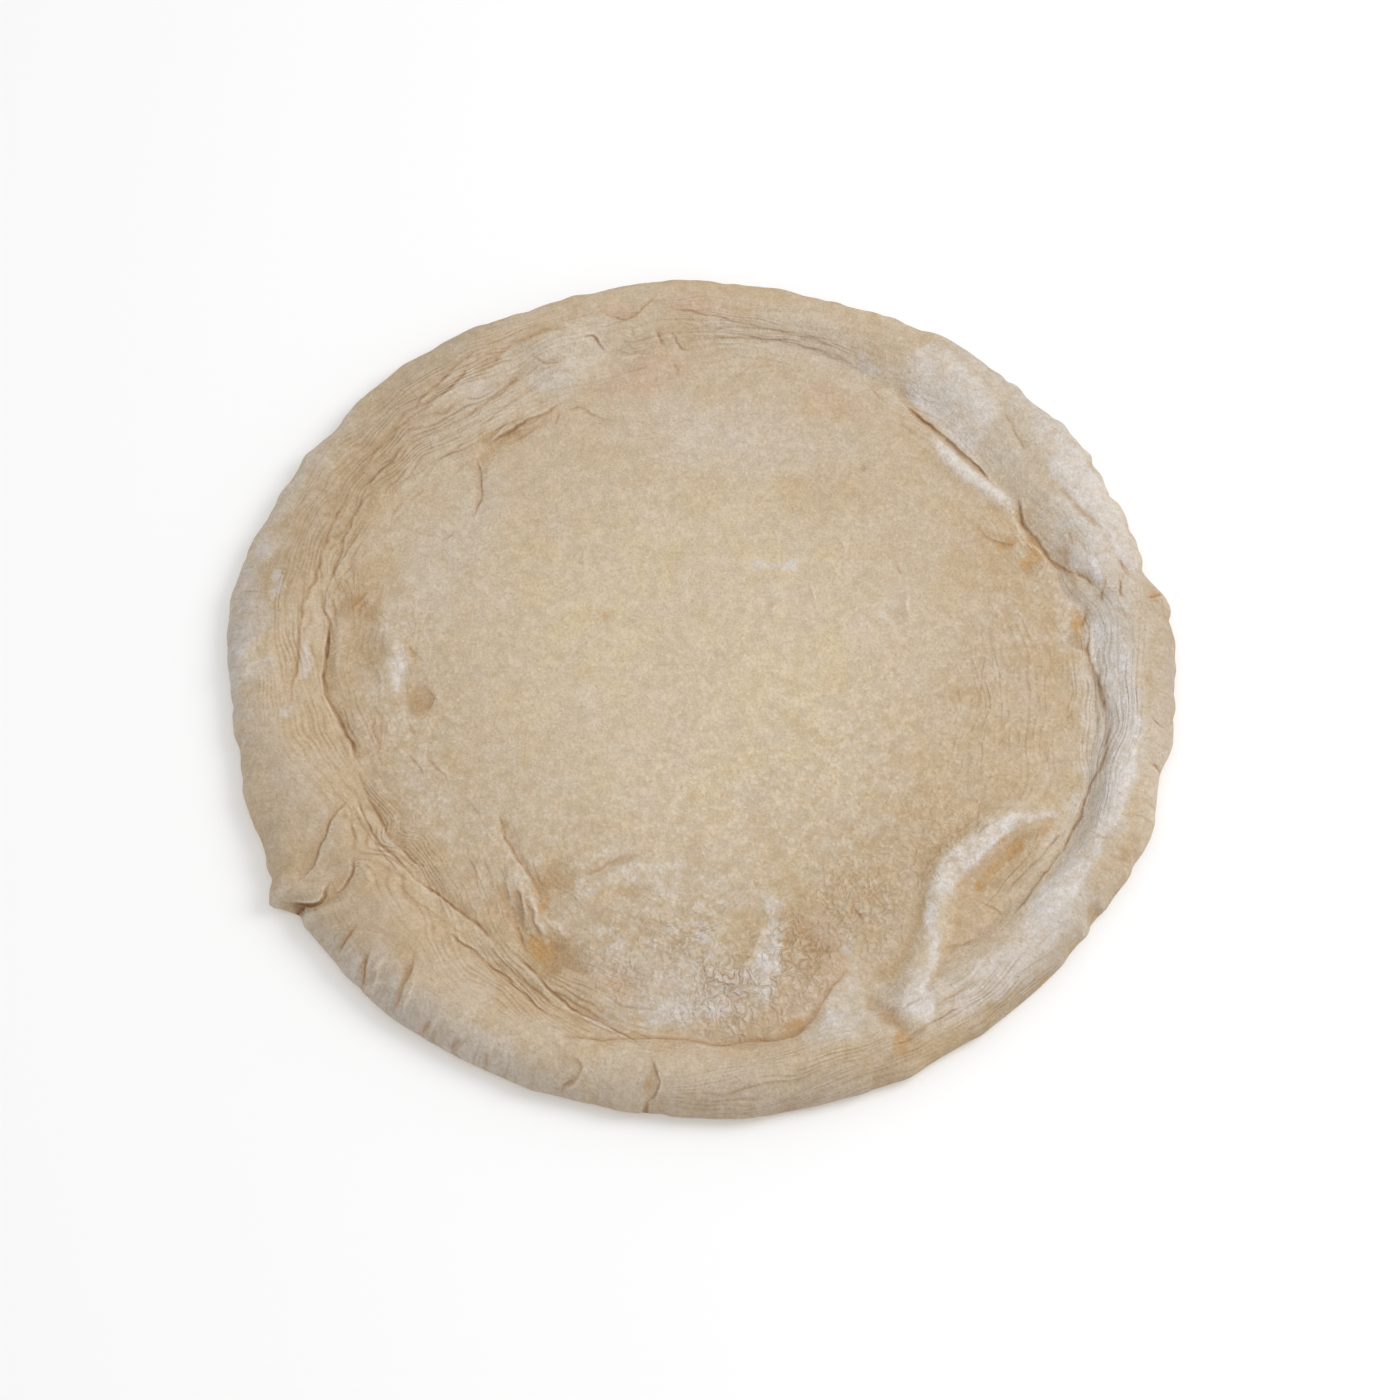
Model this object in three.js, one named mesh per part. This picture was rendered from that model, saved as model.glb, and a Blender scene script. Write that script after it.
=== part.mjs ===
// A par-baked pizza base: one round of dough, with a soft raised rim that is creased
// and folded where the dough was turned in, round a thin, nearly flat floor.
// Millimetres, +Z up. The origin is on the surface that the base lies on, under the
// middle of its outline. Angles are in degrees, turning left from +X.
import * as THREE from 'three';

// Driving dimensions
const DIAMETER = 300;
const FLOOR_THICKNESS = 5;
const RIM_HEIGHT = 11.5;
const EDGE_HEIGHT = 4; // where the outer wall bulges furthest
const CREST_INSET = 11; // from the outer edge in to the top of the rim
const RIM_WIDTH = 27; // from the outer edge in to the foot of the rim
const SOLE_INSET = 5; // from the outer edge in to where the underside touches down
const FLOOR_SWELL = 0.35;
const FINEST_HALF_WIDTH = 3.6; // a fold is drawn at least this wide to each side

// How finely the round is divided
const RIM_STATIONS = 200;
const FLOOR_STATIONS = 100;
const BAND_STEP = 4.6; // between the rings just inside the foot of the rim
const BAND_RINGS = 3;
const FLOOR_FRACTIONS = [0.92, 0.83, 0.74, 0.65, 0.55, 0.45];
const MIDDLE_FRACTIONS = [0.34, 0.22, 0.1];

// The outline leaves a true round: a corner and the notch beside it on the right, a
// turned-over flap at the lower left, and long shallow swellings and flats.
const OUTLINE_BUMPS = [
  { angle: 5, spread: 8, out: 1.8 },
  { angle: 14.5, spread: 5, out: -3.6 },
  { angle: 23, spread: 8, out: -1.5 },
  { angle: 34, spread: 9, out: 1 },
  { angle: 55, spread: 8, out: 1.6 },
  { angle: 77, spread: 12, out: -1 },
  { angle: 93, spread: 8, out: 1.1 },
  { angle: 143, spread: 45, out: 2.6 },
  { angle: 142, spread: 5, out: -1 },
  { angle: 169, spread: 16, out: 1.9 },
  { angle: 190, spread: 14, out: -2.8 },
  { angle: 201, spread: 8, out: -1.4 },
  { angle: 212, spread: 3, out: 3.9 },
  { angle: 240, spread: 26, out: 0.7 },
  { angle: 278, spread: 18, out: 1.6 },
  { angle: 293, spread: 7, out: 1 },
  { angle: 322, spread: 9, out: -1.2 },
  { angle: 344.5, spread: 6, out: -1.6 },
];

// The rim is broad along the lower left and narrow at the top and the right.
const RIM_WIDTH_BUMPS = [
  { angle: 33, spread: 20, out: 6 },
  { angle: 75, spread: 18, out: -5 },
  { angle: 142, spread: 22, out: -5 },
  { angle: 181, spread: 22, out: 5 },
  { angle: 217, spread: 34, out: 11 },
  { angle: 276, spread: 16, out: -3 },
  { angle: 335, spread: 30, out: -6 },
];

const RIM_HEIGHT_BUMPS = [
  { angle: 28, spread: 26, out: 0.8 },
  { angle: 80, spread: 26, out: -1.4 },
  { angle: 176, spread: 30, out: -0.8 },
  { angle: 222, spread: 26, out: 0.7 },
  { angle: 280, spread: 24, out: 0.9 },
];

// Soft mounds and hollows: where (angle, radius), half-length along the rim,
// half-width across it, and height, negative for a hollow.
const MOUNDS = {
  blister: { at: [111, 126], along: 19, across: 17, height: 2.6 },
  innerRoll: { at: [129, 118], along: 30, across: 11, height: 1.8 },
  leftUpperHollow: { at: [171, 110], along: 10, across: 8, height: -1.2 },
  leftLowerHollow: { at: [187, 90], along: 11, across: 8, height: -1.4 },
  leftPad: { at: [178, 98], along: 13, across: 7, height: 1.3 },
  foldHollow: { at: [238.5, 86], along: 8, across: 10, height: -1.4 },
  brownedHollow: { at: [246.5, 109], along: 13, across: 10, height: -1.8 },
  crustyPatch: { at: [277, 100], along: 24, across: 16, height: 0.9 },
  lowerDip: { at: [288, 101], along: 9, across: 15, height: -1 },
  pocket: { at: [324, 115], along: 24, across: 10, height: -1.9 },
  cornerHollow: { at: [19, 113], along: 9, across: 7, height: -1 },
};

// Ridges and creases: a smooth line through the points (angle, radius), with its height,
// negative for a crease, and its half-width.
const FOLDS = {
  pocketRidge: {
    through: [[297, 143], [299, 128], [304, 121], [309, 114], [316, 103.5], [325, 104.5], [331, 109], [336, 119]],
    height: 2.9,
    halfWidth: 7,
  },
  rimValley: { through: [[296, 148], [295, 136], [293.5, 122]], height: -1.8, halfWidth: 5 },
  leftCrease: { through: [[166, 118], [172, 119.5], [184, 118.5], [190, 114], [197, 112]], height: -1.3, halfWidth: 3 },
  longCrease: { through: [[41, 117.5], [50, 120], [55, 122], [59, 126.5]], height: -1.7, halfWidth: 3 },
  turnedStrip: { through: [[49, 114.5], [42, 112.6], [34, 116], [29, 118]], height: 1.5, halfWidth: 4.5 },
  innerCrease: { through: [[114, 110], [120, 107], [129, 107.3], [134, 105], [138, 97], [143, 93]], height: -1.1, halfWidth: 3 },
  foldLine: { through: [[219, 80], [226, 84.5], [235.5, 90], [241, 98]], height: -1, halfWidth: 3 },
  foldRidge: { through: [[230, 91], [236, 97], [243.5, 105]], height: 1.2, halfWidth: 4 },
  foldCrease: { through: [[232, 98.5], [238, 105], [242, 111]], height: -1.3, halfWidth: 3 },
  arcRidge: { through: [[243, 92.5], [246, 86.5], [252, 76.5], [262, 71]], height: 1.3, halfWidth: 5.5 },
  lowerLeftCrease: { through: [[201, 113.5], [211, 111.5], [225, 111.2], [237, 113.5]], height: -1.2, halfWidth: 3 },
  lowerRimCrease: { through: [[231, 119], [242, 122], [251, 121.5], [262, 129.5]], height: -1.2, halfWidth: 3 },
  bottomCrease: { through: [[266, 124.5], [274, 128.5], [283, 127.3], [287.5, 121]], height: -1.3, halfWidth: 3 },
  rightCrease: { through: [[318, 128.7], [330, 129.3], [348, 130.3], [360, 124.3]], height: -1.3, halfWidth: 3 },
  cornerCrease: { through: [[9, 131], [15, 126.8], [20, 120.2], [28, 117.5]], height: -1.4, halfWidth: 3 },
  rimDale: { through: [[12, 140.5], [22, 137], [33, 132], [45, 139.5]], height: -0.8, halfWidth: 5 },
  flapCrevice: { through: [[214.2, 151], [215.6, 145], [216.4, 137], [213, 126]], height: -2, halfWidth: 3 },
  flapFold: { through: [[212.3, 146], [208, 131], [203.5, 119.5]], height: -1.1, halfWidth: 3.5 },
};

// What a polar place is in x and y
function place(angle, radius) {
  const turn = THREE.MathUtils.degToRad(angle);
  return new THREE.Vector2(radius * Math.cos(turn), radius * Math.sin(turn));
}

// 1 in the middle, falling smoothly to 0 at a share of 1 and beyond
function bell(share) {
  const rest = Math.max(0, 1 - share * share);
  return rest * rest;
}

function angleGap(from, to) {
  return THREE.MathUtils.euclideanModulo(to - from + 180, 360) - 180;
}

function bumpSum(bumps, angle) {
  return bumps.reduce((sum, bump) => sum + bump.out * bell(angleGap(bump.angle, angle) / bump.spread), 0);
}

function outlineRadius(angle) {
  return DIAMETER / 2 + bumpSum(OUTLINE_BUMPS, angle);
}

function rimWidth(angle) {
  return RIM_WIDTH + bumpSum(RIM_WIDTH_BUMPS, angle);
}

function crestHeight(angle) {
  return RIM_HEIGHT + bumpSum(RIM_HEIGHT_BUMPS, angle);
}

// The floor isn't quite level: long low waves cross it.
function floorHeight(x, y) {
  const waves = Math.sin(x / 17 + 0.6) * Math.cos(y / 21 - 0.4) + Math.sin((x - y) / 29 + 1.3);
  return FLOOR_THICKNESS + FLOOR_SWELL * waves;
}

// The share of the rise from floor to crest that is left at a share of the way from
// the crest down to the foot: full and rounded at the top, with a marked foot.
function innerSlope(share) {
  return share >= 1 ? 0 : Math.pow(1 - share * share, 1.25);
}

function moundHeight(mound, x, y) {
  const turn = THREE.MathUtils.degToRad(mound.at[0]);
  const middle = place(...mound.at);
  const outward = (x - middle.x) * Math.cos(turn) + (y - middle.y) * Math.sin(turn);
  const sideways = (y - middle.y) * Math.cos(turn) - (x - middle.x) * Math.sin(turn);
  return mound.height * bell(Math.hypot(outward / mound.across, sideways / mound.along));
}

// The line of a fold as short straight steps, each end with its share of the way along
function foldLine(fold) {
  const steps = 6 * fold.through.length;
  const line = new THREE.SplineCurve(fold.through.map((point) => place(...point)));
  return line.getPoints(steps).map((point, i) => ({ point, share: i / steps }));
}

const foldLines = Object.values(FOLDS).map((fold) => ({ ...fold, line: foldLine(fold) }));

function foldHeight(fold, x, y) {
  const here = new THREE.Vector2(x, y);
  const nearest = fold.line.reduce(
    (best, entry) => {
      const distance = entry.point.distanceTo(here);
      return distance < best.distance ? { distance, share: entry.share } : best;
    },
    { distance: Infinity, share: 0 },
  );
  const taper = Math.min(1, 5 * nearest.share + 0.25, 5 * (1 - nearest.share) + 0.25);
  return fold.height * taper * bell(nearest.distance / Math.max(fold.halfWidth, FINEST_HALF_WIDTH));
}

function relief(x, y) {
  const mounds = Object.values(MOUNDS).reduce((sum, mound) => sum + moundHeight(mound, x, y), 0);
  return foldLines.reduce((sum, fold) => sum + foldHeight(fold, x, y), mounds);
}

// A point on the floor or on the inner side of the rim, at a share of the way from the
// crest (0) to the foot (1)
function innerPoint(angle, radius, share) {
  const { x, y } = place(angle, radius);
  const floor = floorHeight(x, y);
  const rise = (crestHeight(angle) - floor) * innerSlope(share);
  return new THREE.Vector3(x, y, floor + rise + relief(x, y));
}

// A point on the outer side: turn 0 is the furthest bulge and 90 the crest, and -90
// is where the underside touches down.
function outerPoint(angle, turn) {
  const lift = Math.sin(THREE.MathUtils.degToRad(turn));
  const tuck = 1 - Math.cos(THREE.MathUtils.degToRad(turn));
  if (turn <= 0) {
    const { x, y } = place(angle, outlineRadius(angle) - SOLE_INSET * tuck);
    return new THREE.Vector3(x, y, EDGE_HEIGHT * (1 + lift));
  }
  const { x, y } = place(angle, outlineRadius(angle) - CREST_INSET * tuck);
  const rise = (crestHeight(angle) - EDGE_HEIGHT) * lift;
  return new THREE.Vector3(x, y, EDGE_HEIGHT + rise + relief(x, y) * lift);
}

// One ring of points round the base, from a rule that gives the point at an angle
function ring(stations, pointAt) {
  return Array.from({ length: stations }, (_, i) => pointAt((360 * i) / stations));
}

function solePoint(share) {
  return (angle) => {
    const { x, y } = place(angle, share * (outlineRadius(angle) - SOLE_INSET));
    return new THREE.Vector3(x, y, 0);
  };
}

function footRadius(angle) {
  return outlineRadius(angle) - rimWidth(angle);
}

// The rings in order, from the underside round the outer wall and over the rim to the
// middle of the floor
function baseRings() {
  const sole = [
    ring(FLOOR_STATIONS / 4, solePoint(0.3)),
    ring(FLOOR_STATIONS / 2, solePoint(0.65)),
  ];
  const wall = [-90, -45, 0, 28, 58, 90].map((turn) => ring(RIM_STATIONS, (angle) => outerPoint(angle, turn)));
  const slope = [0.25, 0.5, 0.75, 1].map((share) =>
    ring(RIM_STATIONS, (angle) => {
      const inset = CREST_INSET + share * (rimWidth(angle) - CREST_INSET);
      return innerPoint(angle, outlineRadius(angle) - inset, share);
    }),
  );
  const band = Array.from({ length: BAND_RINGS }, (_, i) =>
    ring(RIM_STATIONS, (angle) => innerPoint(angle, footRadius(angle) - BAND_STEP * (i + 1), 1)),
  );
  const floorRing = (stations) => (share) =>
    ring(stations, (angle) => innerPoint(angle, share * (footRadius(angle) - BAND_STEP * BAND_RINGS), 1));
  const floor = FLOOR_FRACTIONS.map(floorRing(FLOOR_STATIONS));
  const middle = MIDDLE_FRACTIONS.map(floorRing(FLOOR_STATIONS / 4));
  return [...sole, ...wall, ...slope, ...band, ...floor, ...middle];
}

// Triangles between two rings of points, stepping on along whichever ring lags behind
function stitch(first, firstCount, second, secondCount) {
  const triangles = [];
  let i = 0;
  let j = 0;
  while (i < firstCount || j < secondCount) {
    const a = first + (i % firstCount);
    const b = second + (j % secondCount);
    if (j >= secondCount || (i < firstCount && (i + 1) * secondCount <= (j + 1) * firstCount)) {
      i += 1;
      triangles.push(a, first + (i % firstCount), b);
    } else {
      j += 1;
      triangles.push(a, second + (j % secondCount), b);
    }
  }
  return triangles;
}

// A fan that closes a ring about one point
function close(middle, start, count, facingUp) {
  return Array.from({ length: count }, (_, i) => {
    const here = start + i;
    const next = start + ((i + 1) % count);
    return facingUp ? [middle, here, next] : [middle, next, here];
  }).flat();
}

function baseGeometry() {
  const rings = baseRings();
  const points = rings.flat();
  const starts = rings.map((_, i) => rings.slice(0, i).flat().length);
  const triangles = [];
  for (let i = 0; i + 1 < rings.length; i += 1) {
    triangles.push(...stitch(starts[i], rings[i].length, starts[i + 1], rings[i + 1].length));
  }
  const last = rings.length - 1;
  triangles.push(...close(points.length, 0, rings[0].length, false));
  triangles.push(...close(points.length + 1, starts[last], rings[last].length, true));
  points.push(new THREE.Vector3(0, 0, 0), innerPoint(0, 0, 1));
  const geometry = new THREE.BufferGeometry().setFromPoints(points);
  geometry.setIndex(triangles);
  return geometry;
}

// The uneven outline's middle is put over the origin.
function centred(geometry) {
  geometry.computeBoundingBox();
  const middle = geometry.boundingBox.getCenter(new THREE.Vector3());
  geometry.translate(-middle.x, -middle.y, 0);
  geometry.computeVertexNormals();
  return geometry;
}

const dough = new THREE.MeshStandardMaterial({ color: 0xcbb79d, roughness: 0.85, metalness: 0 });

const base = new THREE.Mesh(centred(baseGeometry()), dough);
base.name = 'pizza_base';

const model = new THREE.Group();
model.add(base);

export default model;
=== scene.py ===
"""A par-baked pizza base in soft studio light, seen from above and in front.

The fixed frame gives the plain solid of the base. One fine mesh of dough stands for it, with the
same outline, rim, folds and hollows, and with the creases, streaks, flour and browning that the
real dough shows. Shapes are worked out in millimetres and angles in degrees, turning left from
+X, in the outline's own round; the mesh is then centred as the solid is and made metres.
"""

import bpy
import numpy as np
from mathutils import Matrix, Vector


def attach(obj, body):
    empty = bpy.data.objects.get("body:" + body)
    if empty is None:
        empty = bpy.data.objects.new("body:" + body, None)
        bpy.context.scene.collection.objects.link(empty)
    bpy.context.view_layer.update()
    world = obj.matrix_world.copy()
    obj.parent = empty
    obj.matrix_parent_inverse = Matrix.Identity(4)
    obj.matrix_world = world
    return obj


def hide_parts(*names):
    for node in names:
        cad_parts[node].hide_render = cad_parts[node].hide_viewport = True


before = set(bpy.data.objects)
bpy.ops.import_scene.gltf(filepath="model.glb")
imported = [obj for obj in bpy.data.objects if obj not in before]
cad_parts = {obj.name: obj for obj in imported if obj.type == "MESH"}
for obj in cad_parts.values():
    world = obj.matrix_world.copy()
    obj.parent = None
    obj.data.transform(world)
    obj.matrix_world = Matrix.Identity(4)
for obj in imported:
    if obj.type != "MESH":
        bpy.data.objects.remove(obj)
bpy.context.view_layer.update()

MM = 0.001

# Driving dimensions of the solid, in millimetres
DIAMETER = 300
FLOOR_THICKNESS = 5
RIM_HEIGHT = 11.5
EDGE_HEIGHT = 4
CREST_INSET = 11
RIM_WIDTH = 27
SOLE_INSET = 5
FLOOR_SWELL = 0.35
FINEST_HALF_WIDTH = 3.6

# Bumps of the outline, the rim's width and its height: angle, spread to each side, how far out
OUTLINE_BUMPS = [
    (5, 8, 1.8), (14.5, 5, -3.6), (23, 8, -1.5), (34, 9, 1), (55, 8, 1.6), (77, 12, -1), (93, 8, 1.1),
    (143, 45, 2.6), (142, 5, -1), (169, 16, 1.9), (190, 14, -2.8), (201, 8, -1.4), (212, 3, 3.9),
    (240, 26, 0.7), (278, 18, 1.6), (293, 7, 1), (322, 9, -1.2), (344.5, 6, -1.6),
]
RIM_WIDTH_BUMPS = [
    (33, 20, 6), (75, 18, -5), (142, 22, -5), (181, 22, 5), (217, 34, 11), (276, 16, -3), (335, 30, -6),
]
RIM_HEIGHT_BUMPS = [(28, 26, 0.8), (80, 26, -1.4), (176, 30, -0.8), (222, 26, 0.7), (280, 24, 0.9)]

# Small bumps that only the fine mesh's outer wall has: angle, spread to each side, how far out
EDGE_BUMPS = [
    (27, 3, -0.7), (148, 4, 0.9), (153, 4, -0.6), (157, 4, -0.8), (178, 3, -0.6), (195, 4, 0.6),
    (205, 3, -0.9), (211, 2, 0.7), (214, 2, -2.2), (220, 5, -0.8), (243, 9, -0.9), (311, 9, -0.8),
    (316.5, 2, 0.5), (324, 2.5, -1.2), (328, 2.5, -0.8), (337.7, 3, 0.7), (6, 2.5, -0.9), (8.7, 2.5, 1),
    (22.3, 3, 1.3), (30.3, 2, -1), (40.5, 2.5, -1.2), (68.5, 4, -0.9), (80, 5, 0.9), (99, 4, 0.7),
    (115, 5, -0.8), (122.5, 4, 0.7), (131, 3.5, 0.6), (144.5, 3.5, -1.2), (162.5, 4, -0.5),
    (188.3, 3.5, 1), (199.3, 5, 1.4), (249.5, 4, 0.5), (262, 4, 0.8), (280.5, 6, -0.6), (294.5, 3, 0.8),
    (15.3, 1.8, 1.1), (31.5, 1.6, 0.8), (48.5, 3, -0.7), (147, 2, -1.1), (154.5, 2, 0.8),
    (215.2, 1.4, -1.1), (324, 1.6, -0.9), (333, 1.6, -0.5), (345.8, 2, -0.6), (212.3, 1.1, 1.4),
    (214.4, 1, -1.2),
]

# Soft mounds and hollows: angle and radius, half-length along the rim, half-width across it, height
MOUNDS = {
    "blister": (111, 126, 19, 16, 3.1),
    "inner roll": (129, 118, 30, 11, 1.8),
    "left upper hollow": (171, 110, 10, 8, -1.2),
    "left lower hollow": (187, 90, 11, 8, -1.4),
    "left pad": (178, 98, 13, 7, 1.3),
    "fold hollow": (238.5, 86, 8, 10, -1.4),
    "browned hollow": (246.5, 109, 13, 10, -1.8),
    "crusty patch": (277, 100, 24, 16, 0.9),
    "lower dip": (288, 101, 9, 15, -1),
    "pocket": (324, 115, 24, 10, -1.9),
    "corner hollow": (19, 113, 9, 7, -1),
    "upper pad": (164, 145, 6, 3.5, 0.7),
    "middle pad": (172.5, 145.5, 6.5, 5, 0.7),
    "lower pad": (180, 145, 7, 5, 0.7),
    "pale arc": (256, 87, 20, 5, 0.8),
    "second pale arc": (257, 103, 16, 5, 0.8),
    "speckled hollow": (258.5, 110, 9, 6, -0.8),
}

# Broad ridges and creases of the solid: height, half-width, and the points (angle, radius)
FOLDS = {
    "pocket ridge": (2.9, 7, (297, 143), (299, 128), (304, 121), (309, 114), (316, 103.5), (325, 104.5),
                     (331, 109), (336, 119)),
    "rim valley": (-1.8, 5, (296, 148), (295, 136), (293.5, 122)),
    "left crease": (-1.3, 3, (166, 118), (172, 119.5), (184, 118.5), (190, 114), (197, 112)),
    "long crease": (-1.7, 3, (41, 117.5), (50, 120), (55, 122), (59, 126.5)),
    "turned strip": (1.5, 4.5, (49, 114.5), (42, 112.6), (34, 116), (29, 118)),
    "inner crease": (-1.1, 3, (114, 110), (120, 107), (129, 107.3), (134, 105), (138, 97), (143, 93)),
    "fold line": (-1, 3, (219, 80), (226, 84.5), (235.5, 90), (241, 98)),
    "fold ridge": (1.2, 4, (230, 91), (236, 97), (243.5, 105)),
    "fold crease": (-1.3, 3, (232, 98.5), (238, 105), (242, 111)),
    "arc ridge": (1.3, 5.5, (243, 92.5), (246, 86.5), (252, 76.5), (262, 71)),
    "lower left crease": (-1.2, 3, (201, 113.5), (211, 111.5), (225, 111.2), (237, 113.5)),
    "lower rim crease": (-1.2, 3, (231, 119), (242, 122), (251, 121.5), (262, 129.5)),
    "bottom crease": (-1.3, 3, (266, 124.5), (274, 128.5), (283, 127.3), (287.5, 121)),
    "right crease": (-1.3, 3, (318, 128.7), (330, 129.3), (348, 130.3), (360, 124.3)),
    "corner crease": (-1.4, 3, (9, 131), (15, 126.8), (20, 120.2), (28, 117.5)),
    "rim dale": (-0.8, 5, (12, 140.5), (22, 137), (33, 132), (45, 139.5)),
    "flap crevice": (-2, 3, (214.2, 151), (215.6, 145), (216.4, 137), (213, 126)),
    "flap fold": (-1.1, 3.5, (212.3, 146), (208, 131), (203.5, 119.5)),
}

# The flat blank that the mesh starts from: plain radii of its zones, and the rings in each
FIELD_CELLS = 45
FIELD_RADIUS = 105
PLAIN_FOOT = 121
PLAIN_CREST = 139
PLAIN_EDGE = 157
PLAIN_SOLE = 164
BLANK_ZONES = [(PLAIN_FOOT, 4), (PLAIN_CREST, 6), (PLAIN_EDGE, 6), (PLAIN_SOLE, 2)]
UNDERSIDE_RADII = [150, 110, 60]
UNDERSIDE_DROP = -10
BLANK_SPLITS = 2
HIGH_LEVEL, HIGH_SHARE = 12.2, 0.4  # what stands above this level is pressed down to this share

# Plain radii between which an effect comes up
RIM_RISE = (112, 126)
SHADE_RISE = (136, 150)
EDGE_RISE = (143, 155)
SCALLOP_RISE = (144, 156)
PALE_FADE = (30, 100)

# Fine creases
CREASE_STEP = 0.6  # between the points of a crease's line
CREASE_CLEAR = 4.4  # creases of one layer keep this far apart
CREASE_FULL = 1.6  # a crease is drawn in full this near its line
CREASE_GONE = 2.2  # and not at all from here on
CREASE_FAR = 9  # the gap that is noted where there is no crease
CREASE_TAPER = 5  # a crease fades out over this length at each end
CARVE_SHARE = 0.36  # of a crease's depth that the mesh has; its material shows the rest
STEP_WIDTH = 0.9  # half the width over which a crease's raised side comes up
FOLD_SHARE, RIDGE_SHARE = 0.6, 0.85  # of the solid's creases and ridges that the fine mesh keeps
CAVITY_ROUNDS = 16  # how often heights are evened out to find the hollows
RAGGED, FLOUR_WANDER = 2.5, 0.9  # how far the edges of soft patches and of flour wander
SPOT_WANDER, WARM_WANDER = 1.0, 4.0  # and those of brown and of warm spots of the floor
SPREAD = 1.25  # how much wider than its stated size a soft patch is, so that its edge counts for little


def crease(depth, *points, tint=0.5, step=0.0, wide=2.0, reach=5.0, ink=1.0):
    """A thin crease through points (angle, radius), or with a depth below 0 a thin ridge.

    Its depth is in millimetres. A step above 0 raises the side on the left of its travel, which
    for a line that turns left round the middle is the inner side, and one below 0 the other side.
    Wide is half the width that is carved, and reach how far the raised side goes. Tint is how
    brown the band along it is, partly browning and partly painted shade, and ink the share of the
    depth that its drawn line, a painted shade, shows; its raised side gets a painted highlight.
    """
    return {"points": points, "depth": depth, "tint": tint, "step": step, "wide": wide, "reach": reach,
            "ink": ink}


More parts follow.
